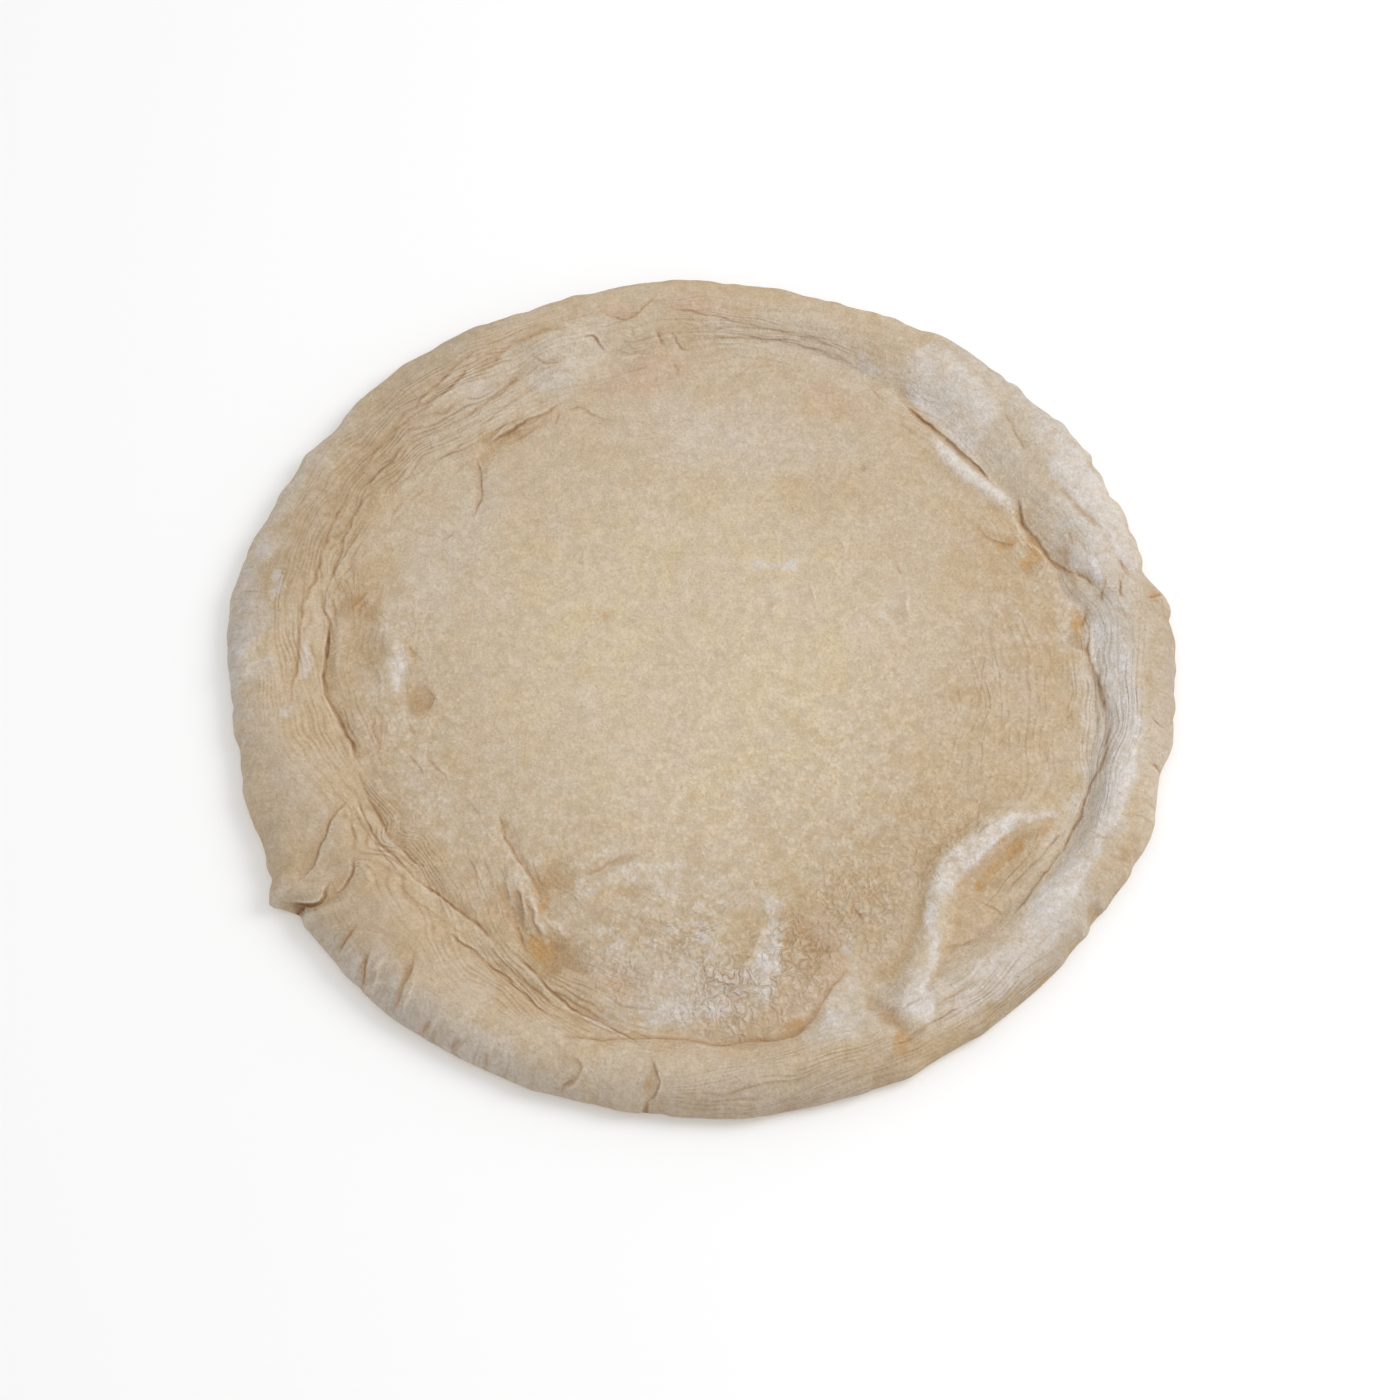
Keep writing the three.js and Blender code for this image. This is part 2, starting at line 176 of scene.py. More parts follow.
CREASES = [
    # right, by the corner
    crease(0.9, (-8.1, 128.6), (-4.4, 127), (-0.3, 124.2), (3.6, 123.3), (7.6, 124.3), (9.5, 125),
           tint=1.0, step=-0.8),
    crease(0.9, (15.3, 125.1), (16.5, 123.1), (18.7, 121.2), (20.8, 119.7), (23.6, 118.9), (26.6, 117.8),
           (29.5, 119), (31.5, 121), tint=1.5, step=-0.8),
    crease(1.0, (12.4, 129), (13.9, 127.9), (15, 126.2), (16.5, 125.5), tint=1.2),
    crease(0.8, (30.8, 104.3), (29.2, 104.3), (27.3, 105.5), (25.8, 107.3), (25, 109.3), (24.8, 111.4),
           (25.1, 114), tint=1.5, ink=0.7),
    crease(-1.2, (24.8, 112.5), (25.8, 115), (27.3, 115.4), (29.1, 116.3), (31.8, 117.8)),
    crease(-1.2, (24.4, 114.2), (22.7, 117.4), (20.3, 118.2), (18.5, 117.1), (17.4, 113.5)),
    crease(0.7, (22.2, 128), (21.2, 128.4), (20.2, 127.6)),
    crease(0.5, (11.2, 130.7), (9.8, 130.5)),
    crease(0.5, (12.7, 137.2), (10.4, 136.1), (9.3, 136.6)),
    crease(0.7, (9.5, 126), (8.1, 123.8), (7.2, 122.6), (5.2, 122.8)),
    crease(-0.8, (13.5, 121.4), (10.8, 116.6), (7.7, 114.6)),
    crease(-0.8, (12.1, 122.7), (9.8, 118.7), (7.6, 116.6)),
    crease(0.5, (15.6, 138.8), (13.4, 139.9), (12.7, 140.8)),
    crease(0.5, (13.9, 131.5), (12.2, 131.7), (9.9, 129.7)),
    crease(0.4, (12, 136.8), (9, 135)),
    crease(0.4, (8.3, 133.4), (6, 136.9)),
    crease(0.4, (-0.4, 117.1), (-4.7, 117.7), (-7.7, 116.1)),
    crease(0.4, (-12.4, 112.7), (-17.8, 112.4)),
    crease(0.6, (9.9, 149.5), (9.4, 147), (9, 143.9), tint=1.6),
    crease(0.4, (12.5, 140.3), (15.5, 139.2)),
    crease(0.3, (6.5, 136), (8.5, 133.8)),
    # upper right
    crease(1.2, (36, 117.3), (39.7, 117.8), (42.6, 118), (47.6, 118.8), (50.7, 119.6), (52.8, 119.8),
           (55.6, 121.4), tint=1.2, step=-0.9),
    crease(0.4, (51, 113.2), (55, 114.3), tint=0.8),
    crease(0.6, (59.2, 118.8), (61.8, 120.8), tint=0.8),
    crease(0.5, (49, 113.5), (46, 111.5), (42.5, 110.8), step=-0.4, ink=0.5),
    crease(0.35, (36, 132.3), (40, 134), (43.5, 138)),
    crease(0.4, (28.7, 133.1), (26.8, 133.6), (24.6, 134.4), (22.5, 135.8), (20.5, 137.4), tint=1.2,
           ink=0.7),
    # top
    crease(0.5, (68, 127), (75, 128.3), (82, 127.8), (90, 126.2)),
    crease(0.5, (70, 130), (78, 131), (86, 130.3), (92, 129)),
    crease(0.6, (84.3, 131.8), (87.2, 133.4), (90.1, 134.4), (94.1, 135.6), tint=0.7),
    crease(0.25, (80.5, 120), (83, 115), (85, 110)),
    crease(0.6, (91.7, 122.1), (93.2, 123.9), (94.9, 129.1), tint=0.8),
    crease(0.6, (95.7, 124.7), (96.8, 129.5), tint=0.8),
    crease(0.5, (95.1, 123.4), (96.2, 126.9), tint=0.8),
    crease(0.6, (96.3, 141.2), (98.6, 136.1), (101, 133.7), (102.7, 135.4), (104.1, 138.8), tint=0.9),
    crease(0.5, (100.1, 127.9), (100.5, 131.2), tint=0.9),
    crease(0.4, (97.5, 122), (103, 123.5)),
    crease(0.35, (98.5, 117), (103.5, 116)),
    crease(1.0, (104.7, 124.8), (105.4, 127.2), (106.2, 130.3), (107.5, 129.9), tint=0.6, step=-0.4,
           reach=3),
    crease(0.5, (111.4, 124.3), (114.3, 126.2), (116.1, 130.8), tint=0.7),
    crease(0.6, (93.7, 112.5), (94.4, 118.2), tint=0.9),
    # upper left
    crease(0.7, (121.8, 139.7), (124.1, 139.5), (127, 137.5), (129.7, 136.5), (132.4, 135.8),
           (134.5, 135), tint=0.7),
    crease(0.7, (124.4, 136), (127.3, 134), (130.3, 133.5), (133.4, 133.6), tint=0.7),
    crease(0.5, (135.2, 130.4), (136.8, 130.8)),
    crease(0.6, (138.8, 129.2), (142.1, 128.3), (145.7, 128.9), (148.6, 130.3), tint=0.7),
    crease(0.7, (115.4, 108.2), (116.8, 106), (117.9, 103.5), ink=0.7),
    crease(1.0, (114.8, 111.3), (117.4, 110.2), (121.1, 109.6), (125, 109.8), (128.7, 110.1), tint=1.1,
           step=-0.6),
    crease(0.6, (118.5, 107), (123, 105.8), (127, 106.2), tint=0.6, ink=0.6),
    crease(0.6, (123.8, 113.4), (126.6, 112.4), (129.6, 111), tint=0.5, ink=0.8),
    crease(0.8, (106.6, 98.3), (109.2, 99.7), (110.5, 103.1), (111.9, 107.5), (114.5, 107.9), tint=0.6,
           step=-0.5, ink=0.6),
    crease(0.6, (117.5, 127.5), (121, 125), (125.7, 123), (130.9, 122.6), tint=1.3, ink=0.7),
    crease(0.5, (109, 134.5), (114, 136), (118.5, 135.5), (122.5, 132.5), tint=1.3, ink=0.6),
    crease(0.5, (116.7, 121), (124.9, 117.6), (128.5, 116), tint=0.4, ink=0.7),
    crease(0.5, (131.2, 115.4), (135.1, 115.4), (139.2, 117.3), (144.7, 120.5), (148, 121.4), tint=0.4,
           ink=0.8),
    crease(0.5, (125.5, 112.5), (129.5, 110.3)),
    crease(0.7, (132.8, 109), (134.2, 104.7), (135.8, 100.4), (137.9, 97), (140.1, 95.1), (142.4, 93.4)),
    crease(0.7, (147.6, 95.3), (150.5, 96.5)),
    crease(0.4, (150.3, 115.1), (146.2, 116.8)),
    crease(0.5, (134, 133.5), (142, 133.2), (150, 132.6), ink=0.8),
    crease(0.7, (150.5, 131), (156, 130.6), (161, 129.3), tint=0.7, ink=0.8),
    crease(0.8, (148, 126.3), (153, 126.5), (158, 125.2), (163.8, 123.6), tint=0.6, ink=0.8),
    # left
    crease(0.8, (161, 129.3), (163.5, 128.4), (165.8, 128.1), (168.7, 128.8), (171.4, 128.7),
           (173.9, 128.3), (176.2, 127.9), (180, 127.4), (182.8, 128.7), (185.4, 129), (187.4, 130.1),
           tint=0.8, ink=0.8),
    crease(0.7, (155, 122.5), (158.5, 123), (161.6, 123.5), (164.6, 123.8), (167.4, 123.6), (170, 122.8),
           (171.5, 120.5), (175, 119.3), (179, 119), tint=0.5, ink=0.8),
    crease(1.2, (172.5, 119.6), (175, 119.3), (178.5, 119.1), (182, 119.2), (184.8, 118.4), (188.2, 116),
           (191.3, 113.5), (194.3, 112.3), (196.5, 113), tint=1.2, step=-0.6),
    crease(0.5, (160.5, 118.5), (164.5, 120.6), (168, 120.2), (171.5, 117.6), tint=0.5, ink=0.8),
    crease(0.5, (183, 115.5), (187.5, 112), (190.8, 110.3), ink=0.6),
    crease(0.5, (190.5, 117), (194, 114.8), (197.5, 114.2), tint=0.7, ink=0.7),
    crease(-0.5, (163.8, 114.3), (165.2, 116), (168.1, 118.9), (170.4, 120.4), ink=0.7),
    crease(-0.6, (164.8, 107.5), (167, 108.9), (170.4, 111.2)),
    crease(0.6, (164.4, 110), (166.8, 112), (169, 114.2), tint=0.9, ink=0.7),
    crease(0.6, (170.2, 148.5), (170.1, 143)),
    crease(0.6, (166, 139.5), (165.8, 136.3)),
    crease(0.6, (173.9, 94.5), (176.7, 91), (178.6, 88), tint=0.7),
    crease(0.4, (188.5, 101.5), (192, 103), (196, 104.5), tint=0.9),
    crease(0.4, (189, 104.5), (193, 105.2), (196.5, 104), tint=0.9),
    crease(0.5, (191.7, 94), (194.9, 93.1)),
    crease(0.3, (193, 84), (192, 81.8)),
    crease(0.5, (198.1, 96.8), (201.7, 94.7), (204.4, 94.4)),
    crease(0.6, (199.8, 91.4), (202.9, 90.1), (205.4, 88.6), (207.4, 89)),
    crease(0.3, (210.4, 87), (215.5, 86), (220.8, 87.2)),
    crease(0.7, (183.7, 87.4), (185.7, 85.6), (187.7, 85.4), (189, 87), (190.5, 89.5), tint=1.0, step=0.3,
           ink=0.7),
    # lower left
    crease(0.9, (199, 112.9), (204, 112.4), (208, 112.3), (212.1, 112.7), (214.7, 111.4), (217, 111),
           (220.2, 108.7), tint=0.8, step=-0.5, ink=0.8),
    crease(0.9, (202, 115.8), (205.6, 116.3), (209.2, 117), (212.6, 116.4), (215.5, 114.9),
           (218.3, 114.3), (221.5, 113.6), (225.4, 112.6), (229.7, 111.9), (234, 112.4), (236.9, 113.4),
           tint=0.9, step=-0.4),
    crease(0.6, (204.7, 118.5), (208.1, 118.3), (210.9, 118), (216, 117.6), (221, 117), tint=0.7,
           ink=0.8),
    crease(0.6, (204.8, 121.3), (208, 121.8), (211.5, 122.8), tint=0.6, ink=0.8),
    crease(0.5, (218, 120.5), (223, 119.6), (228, 118.2), (233, 117.4), ink=0.7),
    crease(0.9, (230.4, 119.3), (233.1, 120), (236.2, 119.9), (241.9, 121.8), (248.4, 127.2),
           (250.8, 127.6), tint=0.8),
    crease(0.6, (236, 115.6), (238, 116.7), (242.6, 119.6), (246.7, 122), (251, 125.3)),
    crease(1.0, (241, 114.4), (245.2, 116.9), (250.9, 122), (256, 124.8), (262.1, 131.3), tint=0.9,
           step=-0.5),
    crease(0.5, (252, 124.5), (257, 127.5), (263, 132.5)),
    crease(0.5, (254, 121.8), (259, 125), (264, 129.5)),
    # the turned-over flap
    crease(1.9, (213.8, 152), (214.6, 149), (215.7, 145.5), (216.1, 143), (215.6, 140), (215.2, 138),
           tint=1.5, step=1.4, wide=1.8, reach=8),
    crease(0.9, (216.6, 138.2), (216.3, 134), (215.3, 130), (213.5, 127.5), (212.7, 125.5), step=0.6),
    crease(0.8, (212.3, 145), (212, 141), (210.5, 136), (207.8, 130), (205.5, 125.5), (203.5, 119.5),
           step=-0.5),
    # cracks across the outer wall, lower left and bottom
    crease(1.2, (222.9, 149.5), (222.6, 146.8), (221.9, 139), tint=1.4, step=-0.8, wide=2.8, ink=0.6),
    crease(1.5, (227.7, 151.1), (226.2, 145.1), (225.3, 141.6), tint=1.9, step=-1.2, wide=3.4, ink=0.5),
    crease(-1.5, (229.2, 150), (228.2, 145), (227.3, 141)),
    crease(1.2, (232.2, 150), (231.8, 143.9), (230.9, 137.4), (229.9, 133.4), tint=1.6, step=-1.1,
           wide=3.0, ink=0.6),
    crease(-1.3, (233.6, 149), (233, 144.5), (232.2, 139)),
    crease(0.9, (236.5, 151), (236.8, 146.5), tint=1.2, step=-0.7, wide=2.6, ink=0.6),
    crease(0.9, (240.5, 151), (241.2, 146.8), tint=1.2, step=-0.7, wide=2.6, ink=0.6),
    crease(0.9, (244.8, 151), (244.4, 147), tint=1.2, step=-0.7, wide=2.6, ink=0.6),
    crease(0.9, (254.3, 150.4), (254.2, 148.8), (255.3, 146), (255.5, 141.9), (254.3, 140.8), tint=0.8,
           step=-0.8),
    crease(1.4, (263.9, 150.9), (263.5, 149), tint=1.0),
    crease(0.9, (263.9, 150), (264.9, 143.3), (263.9, 136.3), tint=1.1, step=-0.8),
    # bottom
    crease(0.7, (252, 134.5), (258, 131.5), (261.5, 129.4), (264.5, 127.9), (268.9, 127.3),
           (271.8, 129.5), (276.2, 128), (280, 129.2), (282.7, 129), (285, 125.1), (287.6, 120.2),
           (289.5, 116.9), (292.7, 113.3), tint=1.4, step=-0.6, ink=0.6),
    crease(0.5, (270.2, 97.2), (270.5, 103.1), (271.1, 108.7), ink=0.8),
    crease(-1.2, (271.9, 109.4), (275.1, 107.8), (277.8, 104.1), (279.9, 98.6), (281.8, 91.8), step=0.5),
    crease(-0.4, (279.3, 119), (281.6, 110.9), (282.5, 101.9)),
    crease(-0.4, (294.6, 106.1), (294.5, 98.8), (296.9, 91), (298.6, 84.8), ink=0.8),
    crease(0.6, (294, 143.5), (296.9, 142.3), (301.5, 141.5), (303.7, 142.3)),
    crease(0.7, (296.3, 133.7), (300, 133.4)),
    crease(0.5, (299, 138), (304, 137.5), (308, 138.5), ink=0.7),
    crease(0.6, (306.9, 122.6), (309.1, 123.9), (311.6, 126.6), tint=0.8),
    # lower right, in and round the pocket
    crease(0.4, (322.5, 103), (327, 104.5), (330, 108), ink=0.7),
    crease(0.9, (317.5, 128.7), (321.3, 127.9), (324.5, 127.4), (328.2, 127.4), (333.4, 128.6),
           (335.9, 128.3), (340.9, 127.6), (344.3, 130.2), (347.6, 130), (350.8, 129.4), tint=0.6,
           step=-0.6),
    crease(0.6, (319.8, 121.8), (324, 122.3), (328.7, 123.9), (333, 126), tint=0.5),
    crease(0.5, (321, 118.8), (325.5, 119.3), (330, 121.5), ink=0.8),
    crease(0.7, (316.4, 117.2), (316.9, 121.6), (316.3, 125.3), tint=0.8),
    crease(-0.5, (315.9, 116.1), (315.1, 122.4)),
    crease(0.4, (333, 135.4), (333.3, 140.4)),
    crease(0.4, (346, 126.5), (350, 126.3), (354, 125), ink=0.7),
    crease(0.5, (332, 150), (331.6, 144)),
    crease(0.5, (338, 150), (337.6, 143)),
    crease(0.4, (340.3, 150), (340.2, 144)),
    crease(0.9, (345.2, 148.5), (345.5, 143.8), tint=0.8),
    crease(0.6, (350.3, 147.5), (351.7, 141.7)),
    crease(0.5, (350, 119), (351, 116.5), (352.2, 119)),
    # folds of the floor at the lower left
    crease(0.8, (219.3, 80.2), (222.9, 83.6), (225.6, 85.6), (230.7, 87.8), (234.9, 89.9), (237.5, 92),
           (239, 94.4), tint=0.8, step=-0.5),
    crease(-1.6, (230, 91.6), (231.6, 95.2), (234, 98.7), (236.8, 102.5), wide=1.6, ink=0.6),
    crease(-1.6, (233.5, 92), (235.8, 96.5), (238.1, 101), (240.3, 105.5), wide=1.6, ink=0.6),
    crease(-1.6, (234.6, 91.6), (237.4, 95.7), (240.3, 100.4), (243.2, 104.2), wide=1.6, ink=0.6),
    crease(-1.2, (241.1, 98.8), (243.5, 100.7), (244.7, 102.1), wide=1.6, ink=0.7),
    crease(-1.2, (242.1, 97.8), (245, 100.2), (246.6, 101.4), wide=1.6, ink=0.7),
    crease(0.7, (233.3, 94.9), (236.2, 98.7), (238.2, 102.6), tint=1.0, wide=1.4, ink=0.7),
    crease(0.8, (236.1, 96.2), (239.4, 100.4), (242.1, 104.5), (243.7, 107.1), tint=1.0, wide=1.4,
           ink=0.7),
    crease(0.9, (236.8, 104.2), (239.6, 107.9), (241.9, 111.3), tint=1.2, ink=0.8),
    crease(0.4, (243.5, 80.5), (246, 77.5), (249.3, 72.1), (253.2, 69), tint=0.8, ink=0.6),
    crease(0.35, (224.3, 93.5), (228, 96.5), (231, 101.5)),
    crease(0.35, (221.5, 96.5), (225.5, 99), (229, 104)),
    # light dashes, ripples and short marks of the floor
    crease(-1.6, (33.3, 43.8), (37.5, 45.2), (41.7, 47.4)),
    crease(-1.4, (40.5, 29), (44.6, 34.3)),
    crease(-1.6, (14.9, 69.2), (19, 70), (22.9, 72.2)),
    crease(-1.2, (40.6, 61.7), (44, 64.5), (47.5, 66.3)),
    crease(0.35, (364.4, 90.3), (358, 89), (351.9, 88.9), (346.9, 88.3), (342.4, 86), tint=0.3),
    crease(0.35, (341.9, 96.8), (345.8, 98), (348.5, 100), tint=0.3),
    crease(0.4, (324.5, 103.2), (328.8, 100.5), (331.6, 98.9), (334, 102), tint=0.3),
    crease(0.6, (299.4, 94.7), (299.2, 100.3), tint=1.0),
    crease(0.3, (32.8, 73.8), (27.6, 73.4)),
]

# Soft patches: angle, radius, half-length along the rim, half-width across it, and strength
PATCHES = {
    "haze": [(5, 130, 20, 12, 0.95), (20, 133, 24, 12, 0.85), (350, 131, 30, 10, 0.95),
        (336, 132, 20, 9, 0.9), (322, 136, 14, 9, 0.8), (312, 141, 14, 7, 0.5), (300, 133, 24, 10, 0.5),
        (288, 132, 10, 8, 0.5), (40, 128, 30, 16, 0.45), (52, 126, 20, 8, 0.6), (76, 130, 24, 8, 0.35),
        (84, 88, 40, 14, 0.35), (84, 128, 14, 6, 0.35), (112, 126, 30, 12, 0.4), (113, 121, 18, 6, 0.5),
        (124, 129, 12, 5, 0.5), (155, 93, 36, 12, 0.3), (125, 122, 20, 8, 0.3), (181, 98, 10, 6, 0.15),
        (268, 140, 40, 7, 0.3), (264, 108, 26, 16, 0.45), (262, 76, 24, 8, 0.35), (278, 112, 10, 8, 0.4),
        (247, 97, 12, 8, 0.3), (205, 98, 20, 10, 0.2), (35, 148, 110, 13, 0.8), (155, 152, 110, 9, 0.45),
        (236, 150, 75, 12, 0.7), (345, 150, 55, 8, 0.35), (177, 148, 34, 9, 1.0), (354, 122.2, 8, 3, 0.7),
        (285, 152, 50, 5, 0.25)],
    "flour": [(2, 129, 12, 5, 0.4), (17.5, 129, 7, 4, 0.4), (25, 143, 17, 7, 0.3),
        (39, 114, 20, 3.5, 0.3), (52, 131, 16, 10, 0.35), (64, 127, 8, 4, 0.5), (164, 146, 6, 4, 0.6),
        (177, 146, 10, 5, 0.5), (179, 124.5, 10, 2.2, 0.7), (168, 137.5, 6, 2, 0.7),
        (172.5, 138.5, 3, 2, 0.6), (188.7, 141.7, 3, 2.5, 0.6), (191.5, 143.6, 3, 2.5, 0.6),
        (187.5, 130.1, 3, 2.5, 0.6), (195, 132.5, 3, 2.5, 0.4), (232, 94, 3, 7, 0.4),
        (246.7, 86, 9, 4, 0.5), (264, 118, 16, 7, 0.5), (257, 126, 8, 4, 0.5), (266.8, 88, 8, 8, 0.4),
        (288, 128, 5, 5, 0.5), (308, 138, 14, 5, 0.35), (346, 134, 22, 5, 0.3), (330, 137, 14, 4, 0.4),
        (256, 96, 14, 5, 0.3)],
    "tan": [(152, 131, 56, 10, 1.0), (178, 116, 40, 14, 0.65), (168, 109, 16, 9, 0.8),
        (213, 112, 60, 14, 0.75), (241, 102, 18, 18, 1.0), (250, 122, 34, 9, 1.0), (276, 126, 16, 4, 0.6),
        (288, 98, 14, 14, 0.6), (300, 112, 16, 8, 0.5), (328, 88, 90, 24, 0.35), (325, 118, 14, 5, 0.6),
        (24, 103, 20, 9, 0.7), (0, 107, 24, 8, 0.4), (218, 134, 40, 12, 0.7), (170, 136, 20, 6, 0.5),
        (60, 76, 14, 10, 0.4), (125, 109, 16, 6, 0.5), (101, 122, 8, 10, 0.6), (112, 137, 22, 4, 0.8),
        (236, 141, 40, 5, 0.6), (296, 150, 55, 5, 0.9), (280, 141, 40, 7, 0.6), (270, 137, 30, 5, 0.4),
        (306, 148, 30, 3, 1.0), (85, 148, 60, 6, 0.5), (320, 121, 14, 6, 0.6), (337, 146, 20, 4, 0.7)],
    "rosy": [(258, 110, 12, 8, 0.8), (271, 118, 12, 6, 0.6), (291, 104, 8, 12, 0.5),
        (236, 98, 6, 10, 0.5), (88, 135, 16, 4, 0.7), (103, 138, 10, 4, 0.6), (100, 113, 16, 9, 0.6),
        (17, 124, 14, 4, 0.8), (66, 112, 14, 5, 0.5), (280, 118, 20, 8, 0.4), (314, 124, 6, 8, 0.5)],
    "toast": [(168.5, 113, 6, 5, 0.8), (167.5, 113, 3, 3, 1.0), (177, 104, 9, 7, 0.6),
        (188, 90.5, 6, 6, 0.6), (186.8, 86.6, 3, 1.8, 0.5), (19, 113, 5, 4, 0.4), (246, 109, 10, 7, 1.0),
        (253, 113.7, 7, 4, 0.5), (249, 87, 4, 12, 0.4), (4.5, 120.8, 9, 2.6, 1.0),
        (18, 123.6, 7, 2.2, 0.7), (238.5, 86.6, 4, 7, 0.6), (125, 109.5, 10, 2.5, 0.8),
        (295, 138, 3, 10, 0.7), (287, 122, 3, 2.5, 0.7), (289, 100, 5, 12, 0.25), (284, 112, 4, 8, 0.2),
        (22, 118, 8, 2.5, 0.6), (304, 148.3, 4, 2, 0.7), (147, 134, 30, 4, 0.3), (122, 136, 10, 2.5, 0.5),
        (130, 134, 8, 2.5, 0.4), (356, 134, 4, 3, 0.4), (243, 93, 5, 3, 0.3), (272, 129.5, 26, 2, 0.5),
        (280, 150, 10, 2.5, 0.5), (292, 149, 6, 3, 0.5)],
    "amber": [(148, 36, 3, 3, 0.5), (168, 112.5, 4, 3, 0.4), (187.5, 88.5, 4, 4, 0.35),
        (289, 100, 4, 14, 0.45), (257, 112, 6, 3, 0.5), (22, 117, 7, 2.2, 0.9), (8, 121.5, 6, 2.2, 0.9),
        (283, 125, 6, 1.8, 0.7), (294.4, 143.5, 3, 3.4, 1.0), (327.5, 115.4, 6, 2.4, 1.0),
        (322, 113.9, 7, 2.2, 0.7), (318, 114, 3, 2, 1.0), (331.8, 120.5, 5, 2.6, 0.6),
        (54, 121, 3, 1.5, 1.0), (243.5, 108.5, 6, 4, 1.0), (51, 120.5, 8, 2, 0.5), (25, 109, 3, 4, 0.9),
        (283, 127.5, 5, 1.8, 0.6), (240, 95, 2, 5, 0.6), (20.4, 112.8, 2.2, 3.2, 0.9),
        (16.9, 137.3, 2.5, 2, 0.5), (12.6, 138.2, 2, 1.5, 0.5), (9.5, 146.5, 3, 2, 0.7),
        (264, 143, 1.5, 4, 0.8), (358.9, 133.5, 4.5, 2, 0.6), (9.6, 146.9, 2.5, 2, 0.6),
        (15, 124.8, 3, 2, 0.6)],
    "streak": [(80, 131, 45, 10, 0.5), (98, 128, 16, 7, 0.5), (135, 130, 55, 14, 1.0),
        (168, 127, 45, 13, 1.0), (192, 119, 28, 13, 0.9), (215, 115, 45, 13, 0.9),
        (248, 121, 42, 12, 1.0), (283, 144, 50, 10, 0.8), (308, 144, 25, 8, 0.9), (325, 121, 22, 9, 0.4),
        (350, 127, 34, 9, 0.8), (20, 123, 25, 10, 0.4), (50, 122, 25, 8, 0.5), (128, 113, 24, 9, 0.6)],
    "wrinkle": [(243, 150, 22, 5, 1.0), (226, 148, 18, 6, 0.8), (35, 147, 60, 8, 0.5),
        (65, 147, 40, 7, 0.4), (150, 147, 90, 7, 0.25), (180, 145, 30, 8, 0.4), (225, 143, 45, 10, 0.3),
        (250, 144, 40, 9, 0.3), (335, 146, 50, 8, 0.5), (5, 147, 30, 7, 0.4)],
    "skin": [(24, 136, 50, 14, 0.35), (85, 124, 60, 13, 0.8), (112, 125, 28, 15, 0.9),
        (135, 113, 45, 13, 0.7), (355, 128, 45, 15, 0.9), (272, 96, 42, 20, 0.8), (320, 112, 26, 14, 0.5),
        (180, 102, 40, 13, 0.6), (350, 97, 50, 20, 0.9), (236, 96, 24, 20, 0.7), (300, 135, 50, 14, 0.5),
        (20, 110, 25, 14, 0.6), (230, 132, 60, 12, 0.4)],
    "grainy": [(192, 96, 60, 20, 0.9), (300, 75, 90, 50, 0.8), (255, 85, 60, 30, 0.9),
        (215, 90, 40, 22, 0.6), (325, 108, 40, 20, 0.7), (10, 105, 40, 20, 0.8)],
    # painted shade on the crest of the rim, round its left side
    "painted_shade": [(150, 133, 150, 9, 0.45), (210, 133, 60, 9, 0.45)],
    "crust": [(276, 112, 20, 15, 1.0), (286, 104, 12, 18, 0.9), (258, 104, 18, 14, 0.5),
        (300, 96, 16, 18, 0.8), (266, 94, 16, 16, 0.6), (318, 94, 22, 16, 0.5)],
}

# Kinds of patch that the materials read as they are, and how ragged their edges are, in millimetres
PAINTED = {"haze": 3.5, "tan": 3.5, "rosy": 3, "grainy": 3, "crust": RAGGED, "skin": RAGGED, "amber": 1}

# Patches and spots of the floor at x, y: half-width, half-height, strength
WARM_SPOTS = [
    (-35, 20, 18, 18, 0.6), (-5, 55, 20, 14, 0.5), (20, 65, 12, 10, 0.5), (39, 62, 14, 12, 0.6),
    (-10, 75, 14, 8, 0.4), (20, 0, 12, 10, 0.5), (-20, 0, 12, 10, 0.4), (48, 38, 16, 12, 0.4),
]
BROWN_SPOTS = [
    (27, -93, 3, 3, 0.7), (32, -85, 5, 5, 0.35), (33, -104, 4, 3, 0.5), (38, -97, 4, 4, 0.5),
    (60, -85, 6, 5, 0.4), (55, -105, 6, 4, 0.5), (50, -88, 5, 4, 0.4), (62, -65, 3, 3, 0.3),
    (36, -73, 3, 3, 0.3), (82, -9, 8, 4, 0.5), (-30.5, 19, 2, 2, 0.35),
]

# Small pits of the floor: x, y, radius and depth
PITS = [
    (53, 75, 1.6, 0.8), (-30.5, 19, 1.5, 0.1), (36, 6.5, 1.2, 0.3), (13.7, 117, 1.4, 0.4),
    (-62, -51, 1.4, 0.3), (-39, 39.5, 1.3, 0.3), (-12, 29, 1.3, 0.3),
]

# Thin floury lines through points x, y: half-width and strength first
FLOUR_LINES = [
    (3.0, 0.55, (22, -82), (22, -90), (19, -99)),
    (1.6, 0.45, (19, -99), (13, -104), (6, -108)),
    (1.2, 0.4, (22, -95), (24, -104), (20, -112)),
    (1.6, 0.45, (-1, -82), (0, -92), (3, -102)),
    (1.6, 0.4, (46, -88), (44, -96), (47, -103)),
    (2.2, 0.5, (77, 84), (84, 75), (90, 70), (101, 60)),
    (1.8, 0.6, (17, 38), (29, 38)),
    (2.6, 0.5, (61, 23), (60, 20)),
    (1.2, 0.4, (-58, -70), (-57, -80), (-54, -88)),
    (1.2, 0.4, (-53, -76), (-50, -86), (-47, -94)),
]

# Where the outer wall gets painted shade: angle, spread to each side, and strength
WALL_PAINTED_SHADE = [
    (212, 16, 0.3), (234, 24, 0.55), (258, 20, 0.5), (280, 22, 0.6), (318, 26, 0.75), (2, 26, 0.75),
    (45, 26, 0.5),
]

